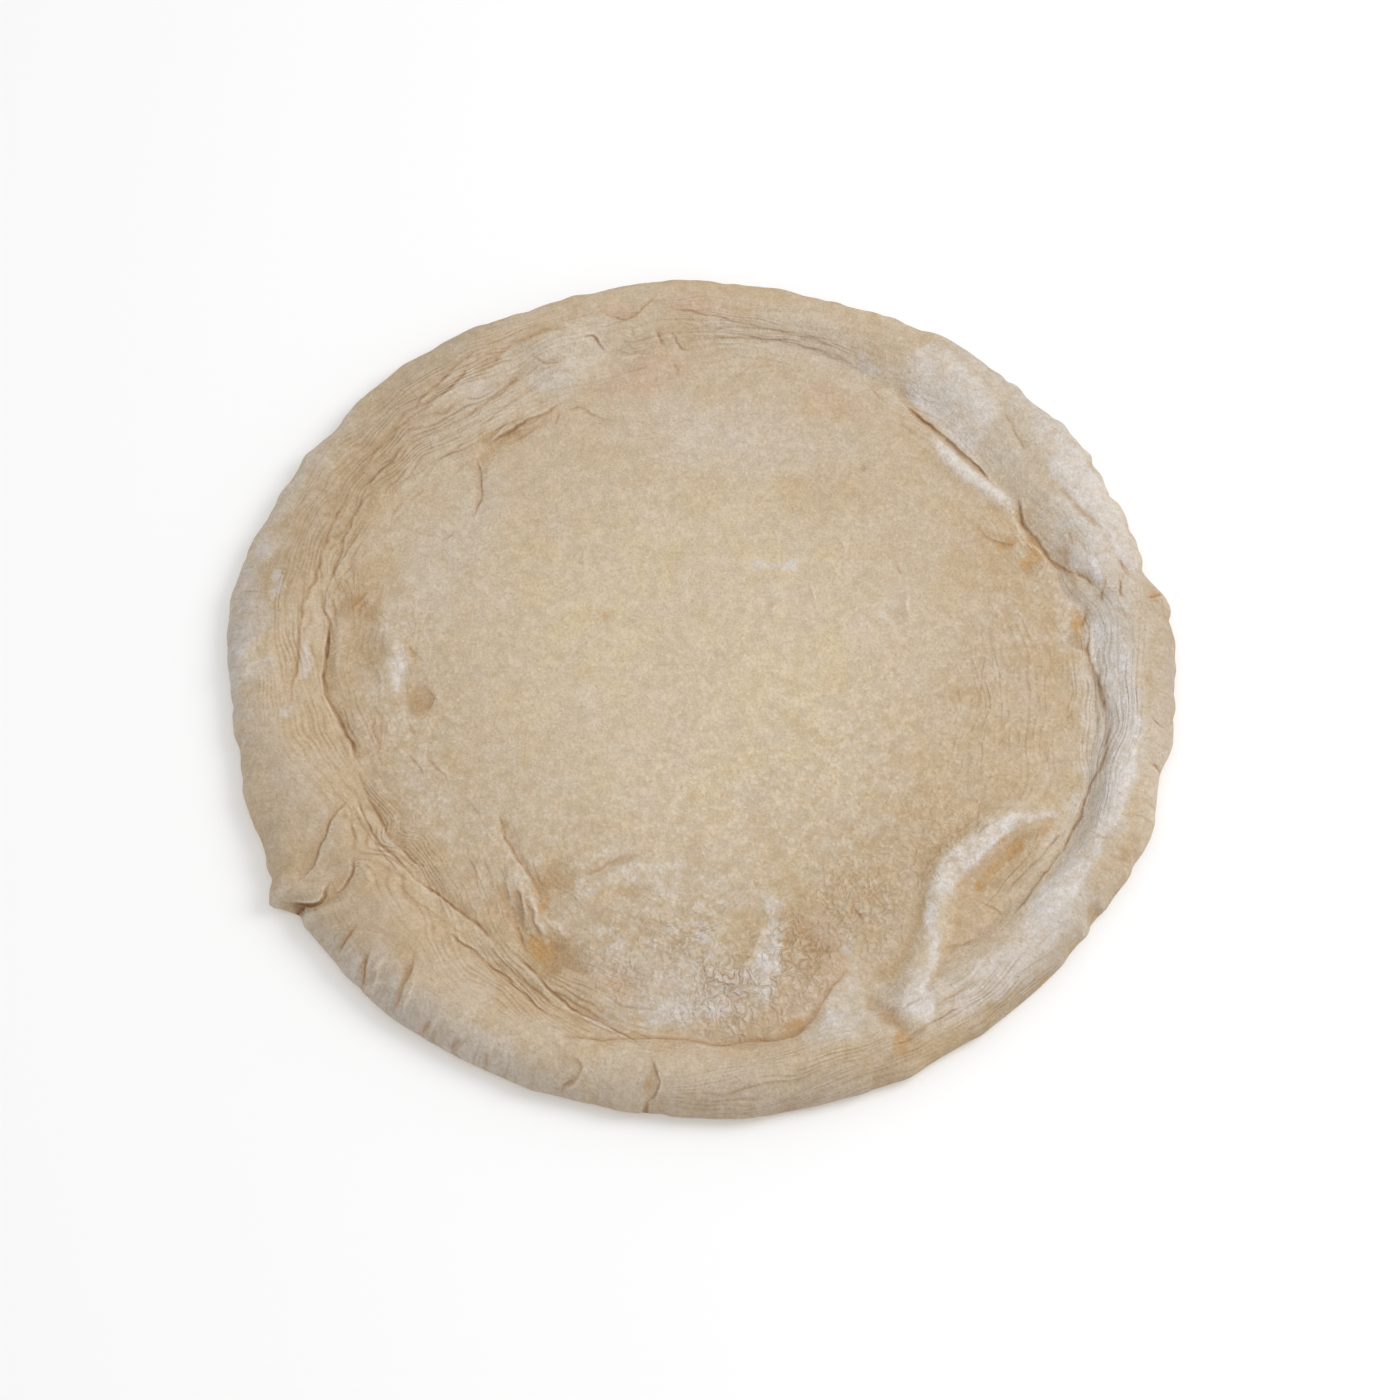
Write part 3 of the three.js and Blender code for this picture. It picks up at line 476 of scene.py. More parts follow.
# Floury patches with clear edges: strength, how wide the edge is, and the outline through x, y
FLOUR_SHAPES = [
    (0.55, 3, (72.5, 119), (80, 121.5), (88.5, 109.5), (95, 102.5), (99, 95), (95.5, 90), (91.5, 83.5),
     (89.5, 78), (81, 87.5), (74.5, 97), (68, 104.5), (69, 112)),
    (0.9, 1.6, (77, 86.5), (82, 84), (87.5, 77), (92, 71), (96, 67.5), (100, 63), (97.5, 60.5),
     (92, 66.5), (85.5, 71), (78.5, 78)),
    (0.65, 1.6, (113.5, 75), (122, 81), (127, 74), (131, 64.5), (136, 55.5), (138.5, 45), (140.5, 34),
     (138, 32.5), (135, 35.5), (133, 40), (131.5, 45.5), (129, 49), (125.5, 53), (122.5, 57.5),
     (119, 61.5), (112.5, 69)),
    (1.0, 1.2, (118.5, 43.5), (119.5, 44), (122.5, 42), (125, 38.5), (128, 32.5), (129, 28.5), (126, 29),
     (122, 33.5), (119, 37), (118.5, 40.5)),
    (0.95, 2, (123.5, 17.5), (130, 18), (135, 7), (136.5, -7.5), (137, -22), (135.5, -36), (131.5, -50),
     (125, -60.5), (120, -67), (122.5, -53), (126, -39), (126.5, -29.5), (127, -18.5), (126.5, -8.5),
     (123, 3.5)),
    (0.7, 1.6, (101, -82.5), (105, -76), (108, -71.5), (114.5, -64), (118, -72.5), (114.5, -81.5),
     (109, -94.5), (104, -101), (97.5, -98), (97.5, -88.5)),
    (0.45, 2, (81.5, -104), (88.5, -100), (97, -98.5), (102.5, -102.5), (98, -109.5), (88, -116),
     (79, -121.5), (74, -120.5), (78, -112)),
    (0.85, 1.6, (59.5, -115.5), (62, -110.5), (67.5, -103.5), (68.5, -93), (68, -86.5), (70, -75),
     (75.5, -66), (81.5, -62), (88.5, -56), (95.5, -52), (101.5, -51.5), (110, -50), (111, -52.5),
     (104.5, -53), (97, -55.5), (92, -60.5), (87.5, -65.5), (82, -71.5), (76.5, -78.5), (72, -83),
     (72, -92), (71.5, -100.5), (68.5, -108.5), (69, -119), (68, -124.5), (63.5, -123), (60, -117.5)),
    (0.9, 1.6, (21, -88.5), (23, -93.5), (23.5, -103.5), (22, -109.5), (19.5, -116.5), (17.5, -112.5),
     (15.5, -106.5), (9.5, -108), (15, -103.5), (17, -98.5), (19, -92)),
    (0.5, 2.5, (-0.5, -113.5), (3.5, -109.5), (8, -110.5), (9, -118), (4, -121.5), (0, -118.5)),
    (0.4, 2.5, (39.5, -109.5), (44, -105), (49, -110.5), (49.5, -120), (40.5, -130), (36.5, -132),
     (35.5, -122), (34.5, -120)),
    (0.5, 2, (-97.5, 10.5), (-94, 8.5), (-92.5, 2.5), (-94, -5), (-96.5, -8), (-98.5, -2.5)),
]

# Where the fine lumps are higher: angle, radius, half-length, half-width, and how much
MOTTLED = [(275, 97, 34, 22, 1.6), (250, 100, 18, 22, 1)]

# Where the scallops of the outer wall are deeper: angle, spread to each side, and how much
SCALLOPED = [(25, 70, 0.5)]

# How far the folds along the rim leave its round: angle, spread to each side, how far out
FOLD_DRIFT = [(213, 28, -8), (262, 22, 8), (128, 18, -3)]

# Where the camera stands
CAMERA_ELEVATION = 61.25
CAMERA_DISTANCE = 1000
CAMERA_AIM = (-0.3, -11.42, 5)
CAMERA_LENS = 81.56

# The lamp: where it stands, in degrees and metres, how wide it is, and its watts
LAMP_AZIMUTH, LAMP_ELEVATION = 12, 45
LAMP_DISTANCE, LAMP_WIDTH, LAMP_POWER = 1.3, 0.75, 7.8
SURROUNDINGS = 0.805  # how bright the white all round is
TABLE_SIZE = 6
TABLE_COLOUR = (0.765, 0.777, 0.80, 1)
# The table glows a little, light that no lamp gives: it lightens and warms the shadows cast on it and lights
# the dough's lower wall from below
TABLE_GLOW, TABLE_GLOW_COLOUR = 0.165, (1, 0.92, 0.78, 1)  # keeps the table as white as in the photo


def bell(share):
    """1 in the middle, falling smoothly to 0 at a share of 1 and beyond."""
    return np.clip(1 - np.square(share), 0, None) ** 2


def smooth(value, low, high):
    """0 below low, 1 above high, and an even S between them."""
    share = np.clip((value - low) / (high - low), 0, 1)
    return share * share * (3 - 2 * share)


def angle_gap(start, angle):
    return (angle - start + 180) % 360 - 180


def bump_sum(bumps, angle):
    return sum(out * bell(angle_gap(middle, angle) / spread) for middle, spread, out in bumps)


def outline_radius(angle):
    return DIAMETER / 2 + bump_sum(OUTLINE_BUMPS, angle)


def rim_width(angle):
    return RIM_WIDTH + bump_sum(RIM_WIDTH_BUMPS, angle)


def crest_height(angle):
    return RIM_HEIGHT + bump_sum(RIM_HEIGHT_BUMPS, angle)


def floor_height(x, y):
    waves = np.sin(x / 17 + 0.6) * np.cos(y / 21 - 0.4) + np.sin((x - y) / 29 + 1.3)
    return FLOOR_THICKNESS + FLOOR_SWELL * waves


def place(angle, radius):
    """What a polar place is in x and y, one place or many."""
    turn = np.radians(angle)
    return np.stack([radius * np.cos(turn), radius * np.sin(turn)], axis=-1)


def spline(points, steps):
    """Points at even steps along a smooth curve through the given ones."""
    points = np.array(points, float)
    last = len(points) - 1
    along = np.linspace(0, last, steps + 1)
    start = np.minimum(along.astype(int), last - 1)
    share = (along - start)[:, None]
    before, near, far, after = (points[np.clip(start + k, 0, last)] for k in (-1, 0, 1, 2))
    slope_near = (far - before) / 2
    slope_far = (after - near) / 2
    cubic = 2 * near - 2 * far + slope_near + slope_far
    square = 3 * far - 3 * near - 2 * slope_near - slope_far
    return ((cubic * share + square) * share + slope_near) * share + near


def even_line(points, step):
    """A smooth line through x, y points, with its own points a fixed step apart."""
    fine = spline(points, 24 * len(points))
    travelled = np.concatenate([[0], np.cumsum(np.hypot(*np.diff(fine, axis=0).T))])
    marks = np.linspace(0, travelled[-1], max(2, round(travelled[-1] / step) + 1))
    return np.stack([np.interp(marks, travelled, fine[:, axis]) for axis in (0, 1)], axis=-1)


def polar_line(points, step):
    """The same for points (angle, radius), so that a line along the rim bends with it."""
    fine = spline(points, 24 * len(points))
    return even_line(place(fine[:, 0], fine[:, 1])[::6], step)


def line_gap(xy, line):
    """Each place's distance from a line, above 0 on its left, and the share of the line passed."""
    start = line[:-1]
    step = np.diff(line, axis=0)
    away = xy[:, None, :] - start
    along = np.clip((away * step).sum(-1) / (step ** 2).sum(-1), 0, 1)
    away -= along[..., None] * step
    distance = (away ** 2).sum(-1)
    nearest = distance.argmin(1)
    rows = np.arange(len(xy))
    offset = away[rows, nearest]
    ahead = step[nearest]
    side = np.where(ahead[:, 0] * offset[:, 1] - ahead[:, 1] * offset[:, 0] < 0, -1, 1)
    return side * np.sqrt(distance[rows, nearest]), (nearest + along[rows, nearest]) / len(step)


def near_line(xy, line, reach):
    """The numbers of the places that may lie within reach of a line."""
    low = line.min(0) - reach
    high = line.max(0) + reach
    return np.nonzero(((xy > low) & (xy < high)).all(1))[0]


def mound_relief(xy):
    """Height that the soft mounds and hollows add."""
    height = np.zeros(len(xy))
    for angle, radius, along, across, rise in MOUNDS.values():
        height += rise * patch(xy, angle, radius, along, across)
    return height


def patch(xy, angle, radius, along, across):
    """A soft oval turned to the rim: 1 in its middle and 0 from its edge on."""
    turn = np.radians(angle)
    away = xy - place(angle, radius)
    outward = away[:, 0] * np.cos(turn) + away[:, 1] * np.sin(turn)
    sideways = away[:, 1] * np.cos(turn) - away[:, 0] * np.sin(turn)
    return bell(np.hypot(outward / across, sideways / along))


def fold_relief(xy):
    """Height that the broad ridges and creases of the solid add."""
    height = np.zeros(len(xy))
    for rise, half_width, *points in FOLDS.values():
        line = spline(place(*np.array(points, float).T), 6 * len(points))
        width = max(half_width, FINEST_HALF_WIDTH)
        near = near_line(xy, line, width)
        gap, share = line_gap(xy[near], line)
        taper = np.minimum(1, np.minimum(4 * share, 4 * (1 - share)) + 0.1)
        kept = FOLD_SHARE if rise < 0 else RIDGE_SHARE
        height[near] += kept * rise * taper * bell(gap / width)
    return height


def lattice_noise(across, along, seed, turns=None):
    """Smooth random heights from -1 to 1 on a lattice of whole numbers, closed after some turns."""
    table = np.random.default_rng(seed).uniform(-1, 1, (512, 512))
    row = np.floor(across).astype(int)
    column = np.floor(along).astype(int)
    down = smooth(across - row, 0, 1)
    right = smooth(along - column, 0, 1)

    def corner(rows, columns):
        whole = (column + columns) % turns if turns else (column + columns)
        return table[(row + rows) % 512, whole % 512]

    top = corner(0, 0) * (1 - right) + corner(0, 1) * right
    bottom = corner(1, 0) * (1 - right) + corner(1, 1) * right
    return top * (1 - down) + bottom * down


def lumps(xy, cell, seed):
    """Noise of one grain size, on a lattice turned by its seed so that grains don't line up."""
    turn = np.radians(37 * seed + 11)
    across = xy[:, 0] * np.cos(turn) + xy[:, 1] * np.sin(turn)
    along = xy[:, 1] * np.cos(turn) - xy[:, 0] * np.sin(turn)
    return lattice_noise(across / cell + 200, along / cell + 200, seed)


def rim_noise(angle, across, along_cell, across_cell, seed):
    """Noise that is stretched along the rim or across it."""
    turns = round(np.pi * DIAMETER / along_cell)
    return lattice_noise(across / across_cell, (angle % 360) / 360 * turns, seed, turns)


# The flat blank

def round_field(mesh):
    """Draws the square grid out into a disc whose edge points are evenly spaced."""
    square = np.zeros(3 * len(mesh.vertices))
    mesh.vertices.foreach_get("co", square)
    square = square.reshape(-1, 3)
    wide, high = square[:, 0], square[:, 1]
    radius = np.maximum(np.abs(wide), np.abs(high))
    flat = np.abs(wide) >= np.abs(high)
    with np.errstate(divide="ignore", invalid="ignore"):
        by_side = 45 * high / wide + np.where(wide < 0, 180, 0)
        by_top = 90 * np.sign(high) - 45 * wide / high
    angle = np.nan_to_num(np.where(flat, by_side, by_top))
    square[:, :2] = place(angle, radius)
    mesh.vertices.foreach_set("co", square.ravel())


def add_ring(old_radius, new_radius, drop=0):
    """Extrudes the selected edge of the blank by one ring."""
    bpy.ops.mesh.extrude_region_move(TRANSFORM_OT_translate={"value": (0, 0, drop)})
    share = new_radius / old_radius
    bpy.ops.transform.resize(value=(share, share, 1), center_override=(0, 0, 0))


def flat_blank():
    """A flat round of dough and, a little below, its underside, in millimetres and plain radii."""
    bpy.ops.object.select_all(action="DESELECT")
    bpy.ops.mesh.primitive_grid_add(x_subdivisions=FIELD_CELLS, y_subdivisions=FIELD_CELLS,
                                    size=2 * FIELD_RADIUS)
    blank = bpy.context.object
    round_field(blank.data)
    bpy.ops.object.mode_set(mode="EDIT")
    bpy.ops.mesh.select_mode(type="EDGE")
    bpy.ops.mesh.select_all(action="SELECT")
    bpy.ops.mesh.region_to_loop()
    radius = FIELD_RADIUS
    for outer, rings in BLANK_ZONES:
        for wider in np.linspace(radius, outer, rings + 1)[1:]:
            add_ring(radius, wider)
            radius = wider
    for narrower in UNDERSIDE_RADII:
        add_ring(radius, narrower, UNDERSIDE_DROP if radius == PLAIN_SOLE else 0)
        radius = narrower
    bpy.ops.mesh.edge_face_add()
    bpy.ops.mesh.select_all(action="SELECT")
    bpy.ops.mesh.normals_make_consistent(inside=False)
    bpy.ops.object.mode_set(mode="OBJECT")
    split = blank.modifiers.new("finer", "SUBSURF")
    split.subdivision_type = "SIMPLE"
    split.levels = split.render_levels = BLANK_SPLITS
    bpy.ops.object.modifier_apply(modifier=split.name)
    return blank


# The shape of the dough

def read_blank(mesh):
    """The blank's points as angle, plain radius and whether they lie on the underside."""
    flat = np.zeros(3 * len(mesh.vertices))
    mesh.vertices.foreach_get("co", flat)
    flat = flat.reshape(-1, 3)
    angle = np.degrees(np.arctan2(flat[:, 1], flat[:, 0])) % 360
    return angle, np.hypot(flat[:, 0], flat[:, 1]), flat[:, 2] < UNDERSIDE_DROP / 100


def wall_turn(plain):
    """How far round the outer wall a plain radius lies: 90 at the crest, 0 at the bulge, -90 below."""
    upper = 90 * (PLAIN_EDGE - plain) / (PLAIN_EDGE - PLAIN_CREST)
    lower = -90 * (plain - PLAIN_EDGE) / (PLAIN_SOLE - PLAIN_EDGE)
    return np.where(plain < PLAIN_EDGE, np.minimum(upper, 90), lower)


def main_shape(angle, plain):
    """The main form: x and y, the height of the plain form, and how much relief counts there."""
    outline = outline_radius(angle)
    width = rim_width(angle)
    slope = np.clip((PLAIN_CREST - plain) / (PLAIN_CREST - PLAIN_FOOT), 0, 1)
    turn = np.radians(wall_turn(plain))
    inside = plain < PLAIN_CREST
    foot = outline - width
    slope_radius = outline - CREST_INSET - slope * (width - CREST_INSET)
    inner_radius = np.where(plain < PLAIN_FOOT, plain * foot / PLAIN_FOOT, slope_radius)
    tuck = np.where(turn > 0, CREST_INSET, SOLE_INSET) * (1 - np.cos(turn))
    radius = np.where(inside, inner_radius, outline - tuck)
    xy = place(angle, radius)
    floor = floor_height(xy[:, 0], xy[:, 1])
    crest = crest_height(angle)
    slope_height = floor + (crest - floor) * (1 - slope ** 2) ** 1.25
    lift = np.sin(turn)
    wall_height = EDGE_HEIGHT + np.where(turn > 0, crest - EDGE_HEIGHT, EDGE_HEIGHT) * lift
    height = np.where(inside, slope_height, wall_height)
    share = np.where(inside, 1, np.clip(lift, 0, None))
    return xy, height, share


def wandered(xy, reach, cell, seed):
    """Places moved about a little, so that what is drawn there gets a ragged edge."""
    return xy + reach * np.stack([lumps(xy, cell, seed), lumps(xy, cell, seed + 1)], axis=-1)


def spread_patches(xy, kind, ragged=RAGGED):
    """The strength of soft patches with ragged edges."""
    warped = wandered(xy, ragged, 6, 3) + wandered(xy, ragged / 2, 2.5, 5) - xy
    strength = np.zeros(len(xy))
    for angle, radius, along, across, amount in PATCHES[kind]:
        shown = patch(warped, angle, radius, SPREAD * along, SPREAD * across)
        strength = np.maximum(strength, amount * np.sqrt(shown))
    return strength


def spread_spots(xy, spots, ragged=SPOT_WANDER):
    """The same for spots that are given at x, y."""
    warped = wandered(xy, ragged, 4, 7)
    strength = np.zeros(len(xy))
    for x, y, wide, high, amount in spots:
        away = (warped - (x, y)) / (SPREAD * wide, SPREAD * high)
        strength = np.maximum(strength, amount * np.sqrt(bell(np.hypot(*away.T))))
    return strength


def flour_line_strength(xy):
    """The strength of the thin floury lines."""
    strength = np.zeros(len(xy))
    for half_width, amount, *points in FLOUR_LINES:
        line = even_line(points, 1.5)
        near = near_line(xy, line, half_width * 2)
        gap, _ = line_gap(wandered(xy[near], FLOUR_WANDER, 3, 9), line)
        strength[near] = np.maximum(strength[near], amount * bell(gap / (half_width * 2)))
    return strength


def inside_share(xy, outline, edge):
    """1 inside an outline and 0 outside it, with a soft edge."""
    start = np.array(outline, float)
    end = np.roll(start, -1, axis=0)
    level = xy[:, 1:]
    spans = (start[:, 1] > level) != (end[:, 1] > level)
    with np.errstate(divide="ignore", invalid="ignore"):
        crossing = start[:, 0] + (end[:, 0] - start[:, 0]) * (level - start[:, 1]) / (end[:, 1] - start[:, 1])
    inside = (spans & (xy[:, :1] < crossing)).sum(1) % 2 == 1
    gap, _ = line_gap(xy, np.vstack([start, start[:1]]))
    return smooth(np.where(inside, 1, -1) * np.abs(gap), -edge / 2, edge / 2)


def flour_shape_strength(xy):
    """The strength of the floury patches with clear edges."""
    strength = np.zeros(len(xy))
    for amount, edge, *outline in FLOUR_SHAPES:
        near = near_line(xy, np.array(outline, float), 2 * edge)
        warped = wandered(xy[near], FLOUR_WANDER, 3.5, 14)
        strength[near] = np.maximum(strength[near], amount * inside_share(warped, outline, edge))
    return strength


def crease_lines():
    """Every crease with its line worked out."""
    return [{**made, "line": polar_line(made["points"], CREASE_STEP)} for made in CREASES]


def clear_of(first, second):
    """Whether two creases keep far enough apart to share a layer."""
    low = np.maximum(first["line"].min(0), second["line"].min(0))
    high = np.minimum(first["line"].max(0), second["line"].max(0))
    if (low - high > CREASE_CLEAR).any():
        return True
    between = first["line"][:, None] - second["line"][None]
    return np.hypot(between[..., 0], between[..., 1]).min() > CREASE_CLEAR


def deal_layers(creases):
    """Shares the creases out in layers, in each of which they keep clear of each other."""
    layers = []
    for made in creases:
        for layer in layers:
            if all(clear_of(made, other) for other in layer):
                layer.append(made)
                break
        else:
            layers.append([made])
    return layers


def end_taper(made, share):
    """1 along a crease, falling off at both its ends."""
    length = CREASE_STEP * (len(made["line"]) - 1)
    fade = min(CREASE_TAPER, 0.35 * length)
    return np.clip(np.minimum(share, 1 - share) * length / fade + 0.15, 0, 1)


def crease_relief(xy, layers):
    """What the creases carve and the sides that they raise."""
    height = np.zeros(len(xy))
    for made in (made for layer in layers for made in layer):
        near = near_line(xy, made["line"], made["reach"])
        gap, share = line_gap(xy[near], made["line"])
        taper = end_taper(made, share)
        carve = made["depth"] * CARVE_SHARE * bell(gap / made["wide"])
        side = np.sign(made["step"]) * gap
        fall = np.clip(1 - np.abs(gap) / made["reach"], 0, 1) ** 2
        raised = abs(made["step"]) * smooth(side, -STEP_WIDTH, STEP_WIDTH) * fall
        height[near] += taper * (raised - carve)
    return height


def crease_layer(xy, layer):
    """For one layer the gap to the nearest crease, above 0 on its raised side, its strength and tint."""
    drawn = np.zeros((len(xy), 3))
    drawn[:, 0] = CREASE_FAR
    for made in layer:
        near = near_line(xy, made["line"], CREASE_GONE)
        gap, share = line_gap(xy[near], made["line"])
        shown = end_taper(made, share) * (1 - smooth(np.abs(gap), CREASE_FULL, CREASE_GONE))
        closer = np.abs(gap) < np.abs(drawn[near, 0])
        here = near[closer]
        drawn[here, 0] = gap[closer] * (-1 if made["step"] < 0 else 1)
        drawn[here, 1] = made["depth"] * made["ink"] * shown[closer]
        drawn[here, 2] = made["tint"] * shown[closer]
    return drawn


def pit_relief(xy):
    height = np.zeros(len(xy))
    for x, y, radius, depth in PITS:
        height -= depth * bell(np.hypot(xy[:, 0] - x, xy[:, 1] - y) / (1.6 * radius))
    return height


def fine_relief(angle, plain, xy, layers, streak, wrinkle):
    """The small forms that only the fine mesh has: lumps, streaks, wrinkles, creases and pits."""
    mottled = sum(amount * patch(xy, *oval) for *oval, amount in MOTTLED)
    on_rim = smooth(plain, *RIM_RISE)
    lump = sum(height * lumps(xy, cell, seed) for height, cell, seed in (
        (0.14 + 0.2 * on_rim, 11, 1),
        (0.08 + 0.08 * on_rim + 0.2 * mottled, 5, 2),
        (0.06 + 0.06 * mottled, 2.6, 12),
        (0.15 * (1 - on_rim), 7, 13),
    ))
    across_folds = plain - bump_sum(FOLD_DRIFT, angle)
    ribs = streak * (0.3 * rim_noise(angle, across_folds, 26, 4, 21)
                     + 0.1 * rim_noise(angle, across_folds, 14, 2.2, 22))
    across = wrinkle * (0.34 * rim_noise(angle, plain, 5.5, 16, 23)
                        + 0.16 * rim_noise(angle, plain, 3, 9, 24))
    scalloped = smooth(plain, *SCALLOP_RISE) * (0.5 + bump_sum(SCALLOPED, angle))
    scallops = scalloped * (1.5 * np.abs(rim_noise(angle, plain, 7, 60, 25)) - 0.5
                            + 0.3 * rim_noise(angle, plain, 4, 30, 26))
    edge = smooth(plain, *EDGE_RISE) * bump_sum(EDGE_BUMPS, angle)
    return lump + ribs + across + scallops + edge + crease_relief(xy, layers) + pit_relief(xy)


def evened(mesh, values):
    """Values of the mesh's points after rounds of taking the mean of their neighbours."""
    pairs = np.zeros(2 * len(mesh.edges), int)
    mesh.edges.foreach_get("vertices", pairs)
    first, second = pairs.reshape(-1, 2).T
    count = np.bincount(pairs, minlength=len(values))
    for _ in range(CAVITY_ROUNDS):
        from_second = np.bincount(first, values[second], len(values))
        from_first = np.bincount(second, values[first], len(values))
        values = (from_second + from_first) / count
    return values


def soft_top(height):
    """Presses what stands above the high level down to a share, so that it stays near the solid."""
    return np.where(height > HIGH_LEVEL, HIGH_LEVEL + HIGH_SHARE * (height - HIGH_LEVEL), height)


def set_attribute(mesh, name, values, kind="FLOAT"):
    """Notes a number, or with another kind a vector, at each point of the mesh."""
    attribute = mesh.attributes.new(name, kind, "POINT")
    field = "vector" if kind == "FLOAT_VECTOR" else "value"
    attribute.data.foreach_set(field, np.ascontiguousarray(values, np.float32).ravel())


def centring():
    """How far the outline's round moves so that its box is centred on the origin."""
    angle = np.arange(0, 360, 0.5)
    edge = place(angle, outline_radius(angle))
    return -(edge.min(0) + edge.max(0)) / 2


def painted_masks(angle, plain, xy):
    """Where each tone of the dough and the painted shade show, from 0 to 1, by the name that the materials
    read.
    """
    masks = {kind: spread_patches(xy, kind, ragged) for kind, ragged in PAINTED.items()}
    masks["flour"] = np.maximum(spread_patches(xy, "flour"), flour_line_strength(xy))
    masks["toast"] = np.maximum(spread_patches(xy, "toast"), spread_spots(xy, BROWN_SPOTS))
    masks["dusting"] = flour_shape_strength(xy)
    masks["warm"] = spread_spots(xy, WARM_SPOTS, WARM_WANDER)
    # Painted shade on the outer wall, and on the rim round its left side
    wall = smooth(plain, *SHADE_RISE) * np.minimum(1, bump_sum(WALL_PAINTED_SHADE, angle))
    masks["painted_shade"] = wall + spread_patches(xy, "painted_shade")
    return masks


def shape_dough(blank):
    """Moves the blank's points to the dough's surface and notes what the materials read."""
    mesh = blank.data
    angle, plain, under = read_blank(mesh)
    xy, height, share = main_shape(angle, plain)
    broad = share * (mound_relief(xy) + fold_relief(xy))
    height = height + broad
    layers = deal_layers(crease_lines())
    streak = spread_patches(xy, "streak")
    wrinkle = spread_patches(xy, "wrinkle")
    turn = np.radians(wall_turn(plain))
    fade = smooth(np.degrees(turn), -45, 0)
    fine = fade * fine_relief(angle, plain, xy, layers, streak, wrinkle)
    outward = np.where(plain < PLAIN_CREST, 0, np.cos(turn))
    upward = np.where(plain < PLAIN_CREST, 1, np.sin(np.clip(turn, 0, None)))
    shaped = np.empty((len(xy), 3))
    shaped[:, :2] = xy + (fine * outward)[:, None] * place(angle, 1.0)
    shaped[:, 2] = soft_top(height + fine * upward)
    sole = place(angle, (outline_radius(angle) - SOLE_INSET) * plain / PLAIN_SOLE)
    shaped[under, :2] = sole[under]
    shaped[under, 2] = 0
    shaped[:, :2] += centring()
    mesh.vertices.foreach_set("co", (shaped * MM).ravel())
    mesh.update()
    for number, layer in enumerate(layers, 1):
        set_attribute(mesh, f"crease_{number}", crease_layer(xy, layer), "FLOAT_VECTOR")
    relief = broad + fine
    # cavity: how far a point lies below the mean of its neighbours; the material paints shade where it is
    # above 0 and a highlight where it is below
    masks = {"streak": streak, "wrinkle": wrinkle, "cavity": evened(mesh, relief) - relief}
    masks.update(painted_masks(angle, plain, xy))
    for name, mask in masks.items():
        set_attribute(mesh, name, np.where(under, 0, fade) * mask)
    set_attribute(mesh, "pale", 1 - smooth(plain, *PALE_FADE))
    around = place(angle, DIAMETER / 2)
    across = plain - bump_sum(FOLD_DRIFT, angle)
    set_attribute(mesh, "flow", np.column_stack([around, across]), "FLOAT_VECTOR")
    return len(layers)


# Materials

# Tones of the dough as they are seen on a screen, 0 to 255, with the painted shade of the wall, hollows,
# creases and folds, and the painted highlights of rises and lips
COOL_MIDDLE, WARM_MIDDLE = (198, 181, 158), (200, 182, 153)
COOL_OUTER, WARM_OUTER = (191, 173, 149), (190, 170, 142)
DUST, PAINTED_SHADE_TONE = (208, 201, 195), (138, 126, 116)
HOLLOW_SHADE, RISE_HIGHLIGHT = (168, 134, 94), (208, 197, 182)
CREASE_BROWN_AND_SHADE, CREASE_HIGHLIGHT, CREASE_SHADE = (168, 132, 92), (212, 198, 178), (124, 86, 54)
FOLD_HIGHLIGHT, FOLD_SHADE = (207, 192, 172), (154, 122, 88)
PALE_SOLE, TAN_SOLE, BAKE_MARK = (206, 188, 160), (198, 170, 132), (156, 112, 68)

# Grain of the noises, in millimetres
FINE, MIDDLING, PEBBLE, SPECK = 0.85, 3.2, 2.2, 1.8
BLOTCH, MOTTLE, CLOUD, FADING, WOBBLE = 3.6, 8, 13, 7, 6
SOLE_SPOT, SOLE_CLOUD = 9, 30


def paint(red, green, blue):
    """A colour given as it is seen on a screen, 0 to 255, as the light that a surface sends back."""
    seen = np.array([red, green, blue]) / 255
    light = np.where(seen < 0.04045, seen / 12.92, ((seen + 0.055) / 1.055) ** 2.4)
    return (*light, 1.0)


# Where a Mix node has the sockets for its share, its two colours and its result
MIX_SHARE, COLOUR_FIRST, COLOUR_SECOND, COLOUR_OUT = 0, 6, 7, 2
VECTOR_INPUTS = ("Place", "Drawn")


